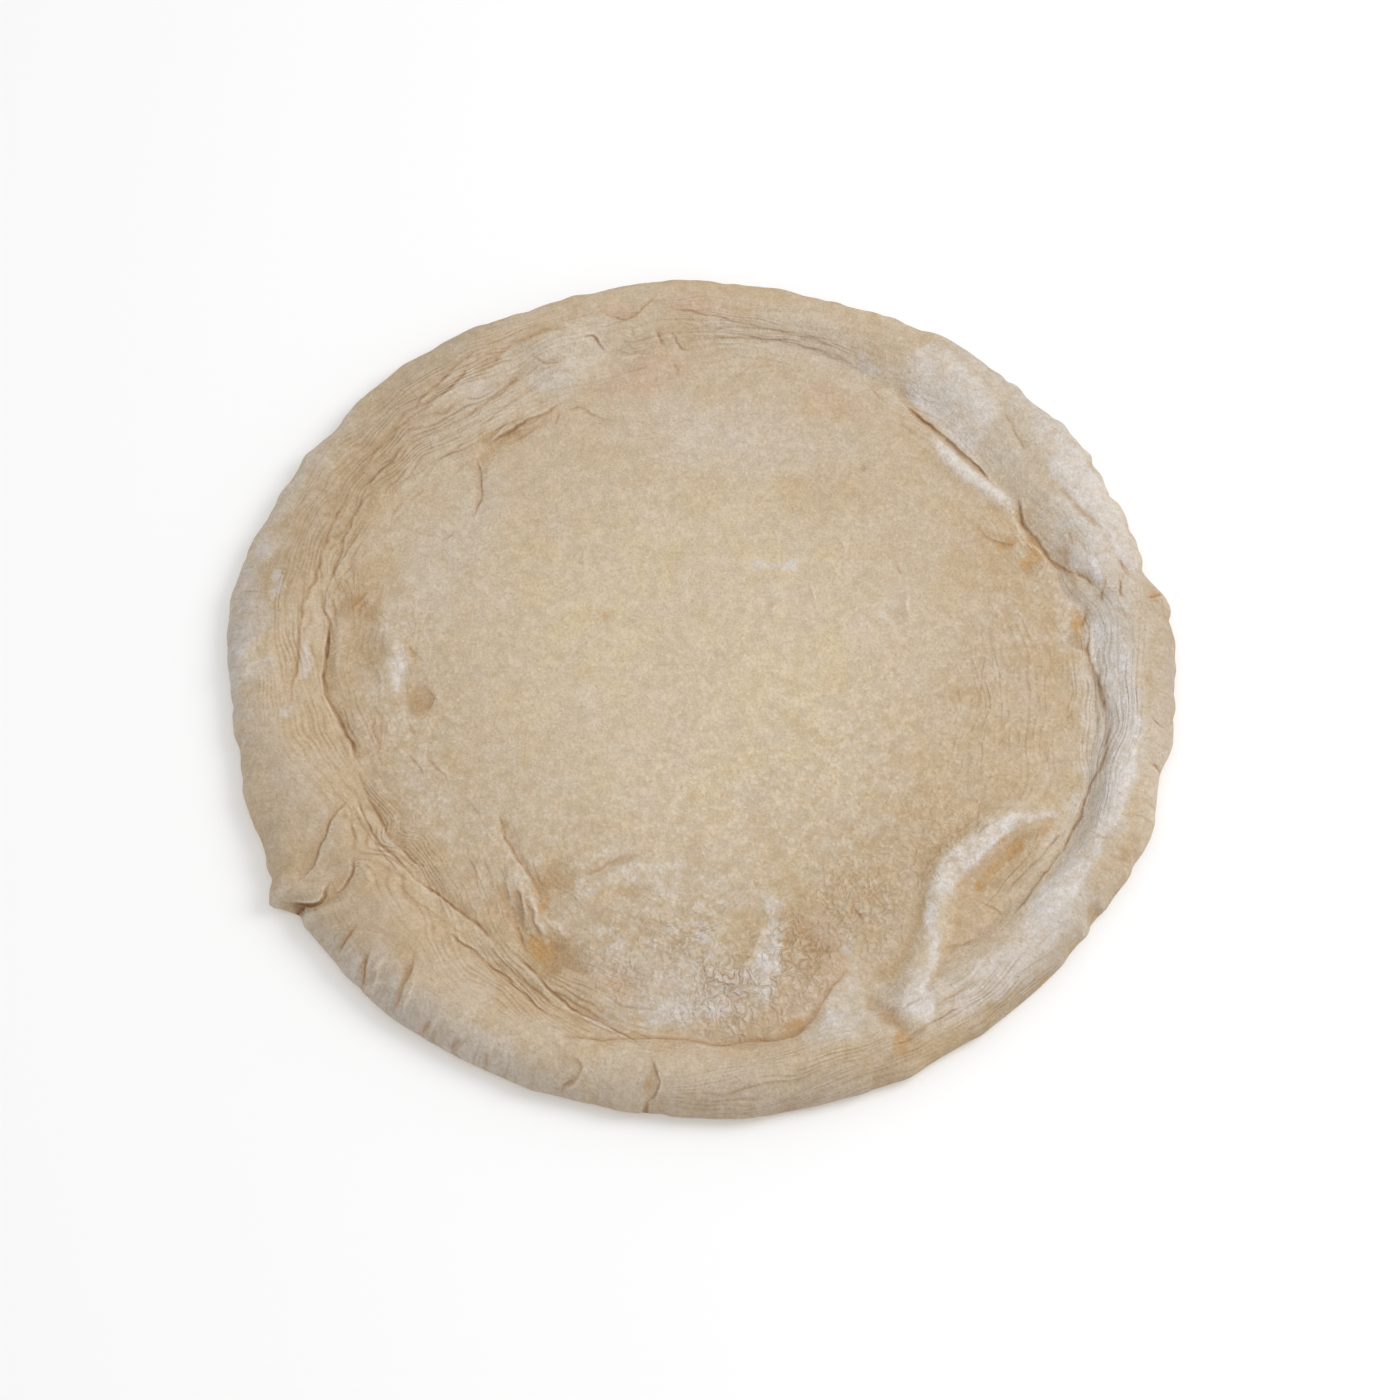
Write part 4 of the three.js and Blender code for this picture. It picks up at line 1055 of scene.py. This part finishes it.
class Recipe:
    """Adds nodes to a tree; each step gives back the socket that the next one reads."""

    def __init__(self, tree):
        self.tree = tree

    def node(self, kind, **settings):
        made = self.tree.nodes.new(kind)
        for name, value in settings.items():
            setattr(made, name, value)
        return made

    def feed(self, socket, value):
        if isinstance(value, bpy.types.NodeSocket):
            self.tree.links.new(value, socket)
        else:
            socket.default_value = value

    def maths(self, operation, *values, clamp=False):
        made = self.node("ShaderNodeMath", operation=operation, use_clamp=clamp)
        for socket, value in zip(made.inputs, values):
            self.feed(socket, value)
        return made.outputs[0]

    def times(self, first, second, clamp=False):
        return self.maths("MULTIPLY", first, second, clamp=clamp)

    def ramp(self, value, low, high, start=0.0, end=1.0):
        made = self.node("ShaderNodeMapRange", interpolation_type="SMOOTHSTEP")
        for name, number in (("Value", value), ("From Min", low), ("From Max", high), ("To Min", start),
                             ("To Max", end)):
            self.feed(made.inputs[name], number)
        return made.outputs["Result"]

    def blend(self, share, first, second, mode="MIX"):
        made = self.node("ShaderNodeMix", data_type="RGBA", blend_type=mode)
        for number, value in ((MIX_SHARE, share), (COLOUR_FIRST, first), (COLOUR_SECOND, second)):
            self.feed(made.inputs[number], value)
        return made.outputs[COLOUR_OUT]

    def scaled(self, vector, scale):
        made = self.node("ShaderNodeMapping")
        self.feed(made.inputs["Vector"], vector)
        made.inputs["Scale"].default_value = scale
        return made.outputs["Vector"]

    def noise(self, vector, grain, detail=2.0, roughness=0.5):
        """Noise of a grain size in the vector's own unit."""
        made = self.node("ShaderNodeTexNoise")
        self.feed(made.inputs["Vector"], vector)
        made.inputs["Scale"].default_value = 1 / grain
        made.inputs["Detail"].default_value = detail
        made.inputs["Roughness"].default_value = roughness
        return made.outputs["Fac"]

    def noise_round_zero(self, vector, grain, detail=2.0, roughness=0.5):
        return self.maths("SUBTRACT", self.noise(vector, grain, detail, roughness), 0.5)

    def attribute(self, name, output="Fac"):
        return self.node("ShaderNodeAttribute", attribute_name=name).outputs[output]

    def millimetres(self):
        return self.scaled(self.node("ShaderNodeTexCoord").outputs["Object"], (1 / MM,) * 3)


def new_group(name, inputs, outputs):
    """An empty node group and the recipe that fills it; its sockets are numbers, but for VECTOR_INPUTS."""
    tree = bpy.data.node_groups.new(name, "ShaderNodeTree")
    for socket in inputs:
        kind = "NodeSocketVector" if socket in VECTOR_INPUTS else "NodeSocketFloat"
        tree.interface.new_socket(name=socket, in_out="INPUT", socket_type=kind)
    for socket in outputs:
        tree.interface.new_socket(name=socket, in_out="OUTPUT", socket_type="NodeSocketFloat")
    recipe = Recipe(tree)
    return tree, recipe, recipe.node("NodeGroupInput").outputs, recipe.node("NodeGroupOutput").inputs


def place_group(recipe, tree, **values):
    made = recipe.node("ShaderNodeGroup", node_tree=tree)
    for name, value in values.items():
        recipe.feed(made.inputs[name], value)
    return made.outputs


def crumb_grain_group():
    """The fine grain of baked dough: specks of light and shade, and their small heights."""
    tree, recipe, given, out = new_group("crumb grain", ("Place", "Coarse"), ("Shade", "Height"))
    here = given["Place"]
    fine = recipe.noise_round_zero(here, FINE, 2.0, 0.6)
    middling = recipe.noise_round_zero(here, MIDDLING, 2.0)
    pebbles = recipe.node("ShaderNodeTexVoronoi", feature="F1")
    recipe.feed(pebbles.inputs["Vector"], here)
    pebbles.inputs["Scale"].default_value = 1 / PEBBLE
    dome = recipe.ramp(pebbles.outputs["Distance"], 0.6, 0.1, -0.35, 0.5)
    rough = recipe.times(recipe.times(dome, given["Coarse"]), recipe.ramp(middling, -0.15, 0.15, 0.4, 1.3))
    specks = recipe.noise(here, SPECK, 1.0)
    pores = recipe.ramp(specks, 0.33, 0.24)
    flecks = recipe.ramp(specks, 0.67, 0.78)
    swell = recipe.maths("ADD", recipe.times(given["Coarse"], 0.8), 0.28)
    grain = total(recipe, recipe.times(fine, 0.58), recipe.times(middling, swell))
    dots = recipe.maths("SUBTRACT", recipe.times(flecks, 0.25), recipe.times(pores, 0.3))
    shade = total(recipe, grain, dots, recipe.times(rough, 0.3))
    recipe.feed(out["Shade"], shade)
    recipe.feed(out["Height"], total(recipe, grain, recipe.times(rough, 0.8)))
    return tree


def winding_fold_group():
    """Soft folds where a noise passes its middle level: their lines, the lips beside, and heights."""
    tree, recipe, given, out = new_group(
        "winding folds", ("Place", "Share", "Width"), ("Line", "Lip", "Height"))
    level = recipe.maths("ABSOLUTE", recipe.noise_round_zero(given["Place"], 1.0, 1.0))
    level = recipe.maths("DIVIDE", level, given["Width"])
    line = recipe.ramp(level, 1.0, 0.0)
    lip = recipe.times(recipe.ramp(level, 0.7, 1.3), recipe.ramp(level, 3.0, 1.5))
    height = recipe.ramp(level, 0.0, 3.0)
    for name, value in (("Line", line), ("Lip", lip), ("Height", height)):
        recipe.feed(out[name], recipe.times(value, given["Share"]))
    return tree


def parallel_fold_group():
    """Folds side by side, one for each whole number that Count passes."""
    tree, recipe, given, out = new_group(
        "parallel folds", ("Count", "Share", "Width"), ("Line", "Lip", "Height"))
    level = recipe.maths("PINGPONG", given["Count"], 0.5)
    line = recipe.ramp(level, given["Width"], 0.0)
    lip = recipe.ramp(level, given["Width"], 0.42)
    height = recipe.ramp(level, 0.0, 0.36)
    for name, value in (("Line", line), ("Lip", lip), ("Height", height)):
        recipe.feed(out[name], recipe.times(value, given["Share"]))
    return tree


def skin_cell_group():
    """Small cells of wrinkled skin, one for each unit of Place: thin furrows round domes, which the dough's
    colour gives painted shade and a painted highlight.
    """
    tree, recipe, given, out = new_group("skin cells", ("Place", "Share"), ("Line", "Lip"))
    warp = recipe.node("ShaderNodeTexNoise", noise_dimensions="2D")
    recipe.feed(warp.inputs["Vector"], given["Place"])
    warp.inputs["Scale"].default_value = 0.7
    warp.inputs["Detail"].default_value = 1.0
    moved = recipe.node("ShaderNodeVectorMath", operation="MULTIPLY_ADD")
    for socket, value in zip(moved.inputs, (warp.outputs["Color"], (1.6, 1.6, 1.6), given["Place"])):
        recipe.feed(socket, value)
    cells = recipe.node("ShaderNodeTexVoronoi", feature="DISTANCE_TO_EDGE", voronoi_dimensions="2D")
    recipe.feed(cells.inputs["Vector"], moved.outputs["Vector"])
    cells.inputs["Scale"].default_value = 1.0
    edge = cells.outputs["Distance"]
    recipe.feed(out["Line"], recipe.times(recipe.ramp(edge, 0.12, 0.0), given["Share"]))
    recipe.feed(out["Lip"], recipe.times(recipe.ramp(edge, 0.08, 0.4), given["Share"]))
    return tree


def crease_group():
    """Draws one layer of creases from the gap to them: their line of painted shade, the painted highlight on
    the lip, and the halo, partly browning and partly painted shade.
    """
    tree, recipe, given, out = new_group("crease", ("Drawn", "Wobble"), ("Line", "Lip", "Halo"))
    parts = recipe.node("ShaderNodeSeparateXYZ")
    recipe.feed(parts.inputs[0], given["Drawn"])
    signed = recipe.maths("ADD", parts.outputs["X"], given["Wobble"])
    gap = recipe.maths("ABSOLUTE", signed)
    strength = recipe.maths("MAXIMUM", parts.outputs["Y"], 0.0)
    ridge = recipe.maths("MAXIMUM", recipe.times(parts.outputs["Y"], -1.0), 0.0)
    width = recipe.maths("ADD", recipe.times(strength, 0.3), 0.34)
    recipe.feed(out["Line"], recipe.times(recipe.ramp(gap, width, 0.0), strength))
    lip = recipe.times(recipe.ramp(gap, 0.35, 0.9), recipe.ramp(gap, 2.0, 0.9))
    one_sided = recipe.times(recipe.times(lip, strength), recipe.ramp(signed, -0.4, 0.4, 0.2, 1.0))
    recipe.feed(out["Lip"], recipe.maths("ADD", one_sided, recipe.times(recipe.ramp(gap, 1.0, 0.1), ridge)))
    recipe.feed(out["Halo"], recipe.times(recipe.ramp(gap, 1.9, 0.2), parts.outputs["Z"]))
    return tree


def new_material(name):
    material = bpy.data.materials.new(name)
    material.use_nodes = True
    recipe = Recipe(material.node_tree)
    shader = material.node_tree.nodes["Principled BSDF"]
    shader.inputs["Specular IOR Level"].default_value = 0.25
    return material, recipe, shader


def add_bump(recipe, shader, height):
    """Height in millimetres as a bump."""
    bump = recipe.node("ShaderNodeBump")
    bump.inputs["Strength"].default_value = 1.0
    bump.inputs["Distance"].default_value = MM
    recipe.feed(bump.inputs["Height"], height)
    recipe.feed(shader.inputs["Normal"], bump.outputs["Normal"])


def broken(recipe, mask, noise, low, high):
    """A soft mask broken up by noise."""
    rough = recipe.maths("ADD", mask, recipe.times(recipe.maths("SUBTRACT", noise, 0.5), 0.9))
    return recipe.times(recipe.ramp(rough, low, high), recipe.ramp(mask, 0.02, 0.2))


def tint(recipe, colour, share, shade):
    """Lays a colour over another by a share that is worked out elsewhere."""
    return recipe.blend(share, colour, paint(*shade))


def dough_colour(recipe, here):
    """Pale dough whose tone goes from floury lilac through greyish to yellowish tan and brown, with painted
    shade on the outer wall and on the rim round its left side.
    """
    cloud = recipe.noise(here, CLOUD, 3.0, 0.5)
    blotch = recipe.noise(here, BLOTCH, 2.0, 0.5)
    warmth = recipe.maths("ADD", recipe.ramp(cloud, 0.35, 0.7), recipe.attribute("warm"), clamp=True)
    middle = recipe.blend(warmth, paint(*COOL_MIDDLE), paint(*WARM_MIDDLE))
    outer = recipe.blend(recipe.ramp(cloud, 0.35, 0.65), paint(*COOL_OUTER), paint(*WARM_OUTER))
    colour = recipe.blend(recipe.attribute("pale"), outer, middle)
    for name, share, shade in (
        ("tan", 0.8, (181, 156, 121)),
        ("rosy", 0.7, (190, 162, 138)),
        ("haze", 1.0, (198, 189, 178)),
    ):
        mask = recipe.times(recipe.attribute(name), recipe.ramp(cloud, 0.25, 0.6, 0.75, 1.2), clamp=True)
        mask = recipe.times(mask, recipe.ramp(blotch, 0.3, 0.6, 0.85, 1.05), clamp=True)
        colour = tint(recipe, colour, recipe.times(mask, share), shade)
    for name, low, high, share, shade in (
        ("toast", 0.1, 1.0, 0.75, (163, 134, 97)),
        ("amber", 0.1, 0.9, 0.75, (180, 139, 86)),
        ("flour", 0.1, 0.9, 0.8, (201, 195, 189)),
    ):
        mask = broken(recipe, recipe.attribute(name), blotch, low, high)
        colour = tint(recipe, colour, recipe.times(mask, share), shade)
    dusted = recipe.times(recipe.attribute("dusting"), recipe.ramp(blotch, 0.3, 0.6, 0.6, 1.0))
    colour = tint(recipe, colour, dusted, DUST)
    browned = recipe.blend(recipe.ramp(blotch, 0.32, 0.68), (0.965, 0.925, 0.86, 1.0),
                           (1.03, 1.06, 1.11, 1.0))
    colour = recipe.blend(recipe.attribute("grainy"), colour, recipe.blend(1.0, colour, browned, "MULTIPLY"))
    mottle = recipe.blend(recipe.ramp(recipe.noise(here, MOTTLE, 3.0), 0.34, 0.66),
                          (0.992, 0.98, 0.955, 1.0), (1.008, 1.02, 1.045, 1.0))
    # Painted shade on the outer wall and on the rim round its left side
    colour = tint(recipe, colour, recipe.times(recipe.attribute("painted_shade"), 0.5), PAINTED_SHADE_TONE)
    return recipe.blend(1.0, colour, mottle, "MULTIPLY")


def lit_by(recipe, colour, shade, low, high):
    """Makes a colour darker and warmer, or lighter and cooler, by a small share that lies round 0."""
    factor = recipe.blend(recipe.ramp(shade, -0.22, 0.22), (*low, 1.0), (*high, 1.0))
    return recipe.blend(1.0, colour, factor, "MULTIPLY")


def weighted(recipe, name, pairs):
    """The sum of one output of several groups, each taken by its own weight."""
    return total(recipe, *(recipe.times(group[name], weight) for group, weight in pairs))


def total(recipe, *values):
    """The sum of sockets."""
    result = values[0]
    for value in values[1:]:
        result = recipe.maths("ADD", result, value)
    return result


def skin_folds(recipe, here):
    """Folds of the skin: side by side along the rim, across the outer wall, and in small cells."""
    flow = recipe.attribute("flow", "Vector")
    across = recipe.node("ShaderNodeSeparateXYZ")
    recipe.feed(across.inputs[0], flow)
    drift = recipe.noise(recipe.scaled(flow, (0.026, 0.026, 0.06)), 1.0, 2.0)
    drifted = recipe.maths("ADD", across.outputs["Z"], recipe.times(drift, 16.0))
    fade = recipe.noise(recipe.scaled(flow, (0.045, 0.045, 0.36)), 1.0, 1.0)
    long_share = recipe.ramp(fade, 0.38, 0.62)
    short_share = recipe.ramp(fade, 0.62, 0.42)
    side_by_side = parallel_fold_group()

    def folds(name, per_millimetre, fading, width):
        share = recipe.times(recipe.attribute(name), fading)
        return place_group(recipe, side_by_side, Count=recipe.times(drifted, per_millimetre),
                           Share=share, Width=width)

    broad = folds("streak", 0.24, long_share, 0.12)
    fine = folds("streak", 0.62, short_share, 0.25)
    ridges = folds("skin", 0.4, short_share, 0.25)
    wall = place_group(recipe, winding_fold_group(), Place=recipe.scaled(flow, (0.25, 0.25, 0.05)),
                       Share=recipe.attribute("wrinkle"), Width=0.07)
    crust = place_group(recipe, skin_cell_group(), Place=recipe.scaled(here, (0.3, 0.3, 0.3)),
                        Share=recipe.attribute("crust"))
    made = (broad, fine, wall, ridges, crust)
    line = weighted(recipe, "Line", zip(made, (0.7, 0.8, 0.5, 0.3, 0.9)))
    lip = weighted(recipe, "Lip", zip(made, (0.3, 0.3, 0.4, 0.35, 0.6)))
    raised = weighted(recipe, "Height", zip(made[:-1], (0.8, 0.6, 0.8, 0.7)))
    return line, lip, total(recipe, raised, recipe.times(crust["Lip"], 1.7))


def top_material(grain_tree, layer_count):
    """The dough's baked upper side."""
    material, recipe, shader = new_material("dough")
    here = recipe.millimetres()
    coarse = recipe.maths("ADD", recipe.times(recipe.attribute("grainy"), 0.35), 0.25)
    grain = place_group(recipe, grain_tree, Place=here, Coarse=coarse)
    colour = dough_colour(recipe, here)
    fold_line, fold_lip, fold_height = skin_folds(recipe, here)

    wobble = recipe.times(recipe.noise_round_zero(here, WOBBLE, 1.0), 2.4)
    fading = recipe.noise(here, FADING, 1.0)
    shown = recipe.ramp(fading, 0.32, 0.66, 0.15, 1.0)
    crease_tree = crease_group()
    drawings = [recipe.attribute(f"crease_{number}", "Vector") for number in range(1, layer_count + 1)]
    layers = [place_group(recipe, crease_tree, Drawn=drawing, Wobble=wobble) for drawing in drawings]
    line, lip, halo = (total(recipe, *(layer[name] for layer in layers)) for name in ("Line", "Lip", "Halo"))

    # Painted shade in the hollows of the relief, and painted highlight on its rises
    cavity = recipe.attribute("cavity")
    colour = tint(recipe, colour, recipe.ramp(cavity, 0.05, 0.5, 0.0, 0.36), HOLLOW_SHADE)
    colour = tint(recipe, colour, recipe.ramp(cavity, -0.05, -0.5, 0.0, 0.25), RISE_HIGHLIGHT)
    # Brown halo along the creases: partly browning, partly painted shade
    colour = tint(recipe, colour, recipe.times(halo, 0.35, clamp=True), CREASE_BROWN_AND_SHADE)
    # Painted highlight on the lips of the skin folds
    colour = tint(recipe, colour, recipe.times(fold_lip, 0.4, clamp=True), FOLD_HIGHLIGHT)
    # Painted highlight on the lips of the creases
    colour = tint(recipe, colour, recipe.times(lip, 0.4, clamp=True), CREASE_HIGHLIGHT)
    # Painted shade in the lines of the skin folds
    fold_shade_share = recipe.times(fold_line, recipe.ramp(fading, 0.3, 0.6, 0.3, 0.8), clamp=True)
    colour = tint(recipe, colour, fold_shade_share, FOLD_SHADE)
    # Painted shade in the drawn crease lines
    drawn = recipe.times(line, shown)
    colour = tint(recipe, colour, recipe.times(drawn, 0.74, clamp=True), CREASE_SHADE)
    colour = lit_by(recipe, colour, grain["Shade"], (0.875, 0.86, 0.82), (1.12, 1.14, 1.185))

    height = total(recipe, recipe.times(grain["Height"], 0.5), recipe.times(fold_height, 0.28),
                   recipe.times(line, -0.2), recipe.times(lip, 0.08))
    add_bump(recipe, shader, height)
    recipe.feed(shader.inputs["Base Color"], colour)
    recipe.feed(shader.inputs["Roughness"], recipe.ramp(grain["Shade"], -0.2, 0.2, 0.9, 0.76))
    return material


def underside_material(grain_tree):
    """The flat underside: pale, with scattered brown bake marks."""
    material, recipe, shader = new_material("dough-underside")
    here = recipe.millimetres()
    grain = place_group(recipe, grain_tree, Place=here, Coarse=0.6)
    cloud = recipe.noise(here, SOLE_CLOUD, 3.0)
    spots = recipe.noise(here, SOLE_SPOT, 3.0, 0.6)
    colour = recipe.blend(recipe.ramp(cloud, 0.35, 0.65), paint(*PALE_SOLE), paint(*TAN_SOLE))
    baked = recipe.times(recipe.ramp(spots, 0.55, 0.72), recipe.ramp(cloud, 0.4, 0.6, 0.3, 0.9))
    colour = recipe.blend(baked, colour, paint(*BAKE_MARK))
    colour = lit_by(recipe, colour, grain["Shade"], (0.89, 0.88, 0.85), (1.09, 1.1, 1.13))
    add_bump(recipe, shader, recipe.times(grain["Height"], 0.4))
    recipe.feed(shader.inputs["Base Color"], colour)
    recipe.feed(shader.inputs["Roughness"], recipe.ramp(grain["Shade"], -0.2, 0.2, 0.9, 0.75))
    return material


def pizza_base():
    """The whole base, in place of its plain solid."""
    dough = flat_blank()
    dough.name = dough.data.name = "pizza-base"
    layer_count = shape_dough(dough)
    grain_tree = crumb_grain_group()
    dough.data.materials.append(top_material(grain_tree, layer_count))
    dough.data.materials.append(underside_material(grain_tree))
    for face in dough.data.polygons:
        face.material_index = int(face.center.z < 0.01 * MM)
    bpy.ops.object.shade_smooth()
    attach(dough, "root")
    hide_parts("pizza_base")
    return dough


# The studio

def pale_floor():
    bpy.ops.object.select_all(action="DESELECT")
    bpy.ops.mesh.primitive_plane_add(size=TABLE_SIZE, location=(0, 0, 0))
    floor = bpy.context.object
    floor.name = "floor"
    white = bpy.data.materials.new("white-table")
    white.use_nodes = True
    shader = white.node_tree.nodes["Principled BSDF"]
    shader.inputs["Base Color"].default_value = TABLE_COLOUR
    shader.inputs["Emission Color"].default_value = TABLE_GLOW_COLOUR
    shader.inputs["Emission Strength"].default_value = TABLE_GLOW
    shader.inputs["Roughness"].default_value = 0.9
    floor.data.materials.append(white)


def soft_key_light():
    """One large soft lamp, at the right and a little behind the base."""
    level = place(LAMP_AZIMUTH, np.cos(np.radians(LAMP_ELEVATION)))
    towards = Vector((*level, np.sin(np.radians(LAMP_ELEVATION))))
    lamp = bpy.data.lights.new("key", "AREA")
    lamp.shape = "DISK"
    lamp.size = LAMP_WIDTH
    lamp.energy = LAMP_POWER
    key = bpy.data.objects.new("key", lamp)
    key.location = towards * LAMP_DISTANCE
    key.rotation_euler = towards.to_track_quat("Z", "Y").to_euler()
    bpy.context.collection.objects.link(key)


def white_surroundings():
    world = bpy.data.worlds.new("studio")
    world.use_nodes = True
    background = world.node_tree.nodes["Background"]
    background.inputs["Color"].default_value = (1, 1, 1, 1)
    background.inputs["Strength"].default_value = SURROUNDINGS
    bpy.context.scene.world = world
    bpy.context.scene.view_settings.view_transform = "Standard"


def photo_camera():
    """The camera stands in front of the base and looks down on it."""
    elevation = np.radians(CAMERA_ELEVATION)
    back = Vector((0, -np.cos(elevation), np.sin(elevation)))
    middle = centring()
    aim = Vector((CAMERA_AIM[0] + middle[0], CAMERA_AIM[1] + middle[1], CAMERA_AIM[2]))
    lens = bpy.data.cameras.new("camera")
    lens.lens = CAMERA_LENS
    lens.clip_start, lens.clip_end = 0.01, 20
    camera = bpy.data.objects.new("camera", lens)
    camera.location = (aim + back * CAMERA_DISTANCE) * MM
    camera.rotation_euler = back.to_track_quat("Z", "Y").to_euler()
    bpy.context.collection.objects.link(camera)
    bpy.context.scene.camera = camera


photo_camera()
pizza_base()
pale_floor()
soft_key_light()
white_surroundings()
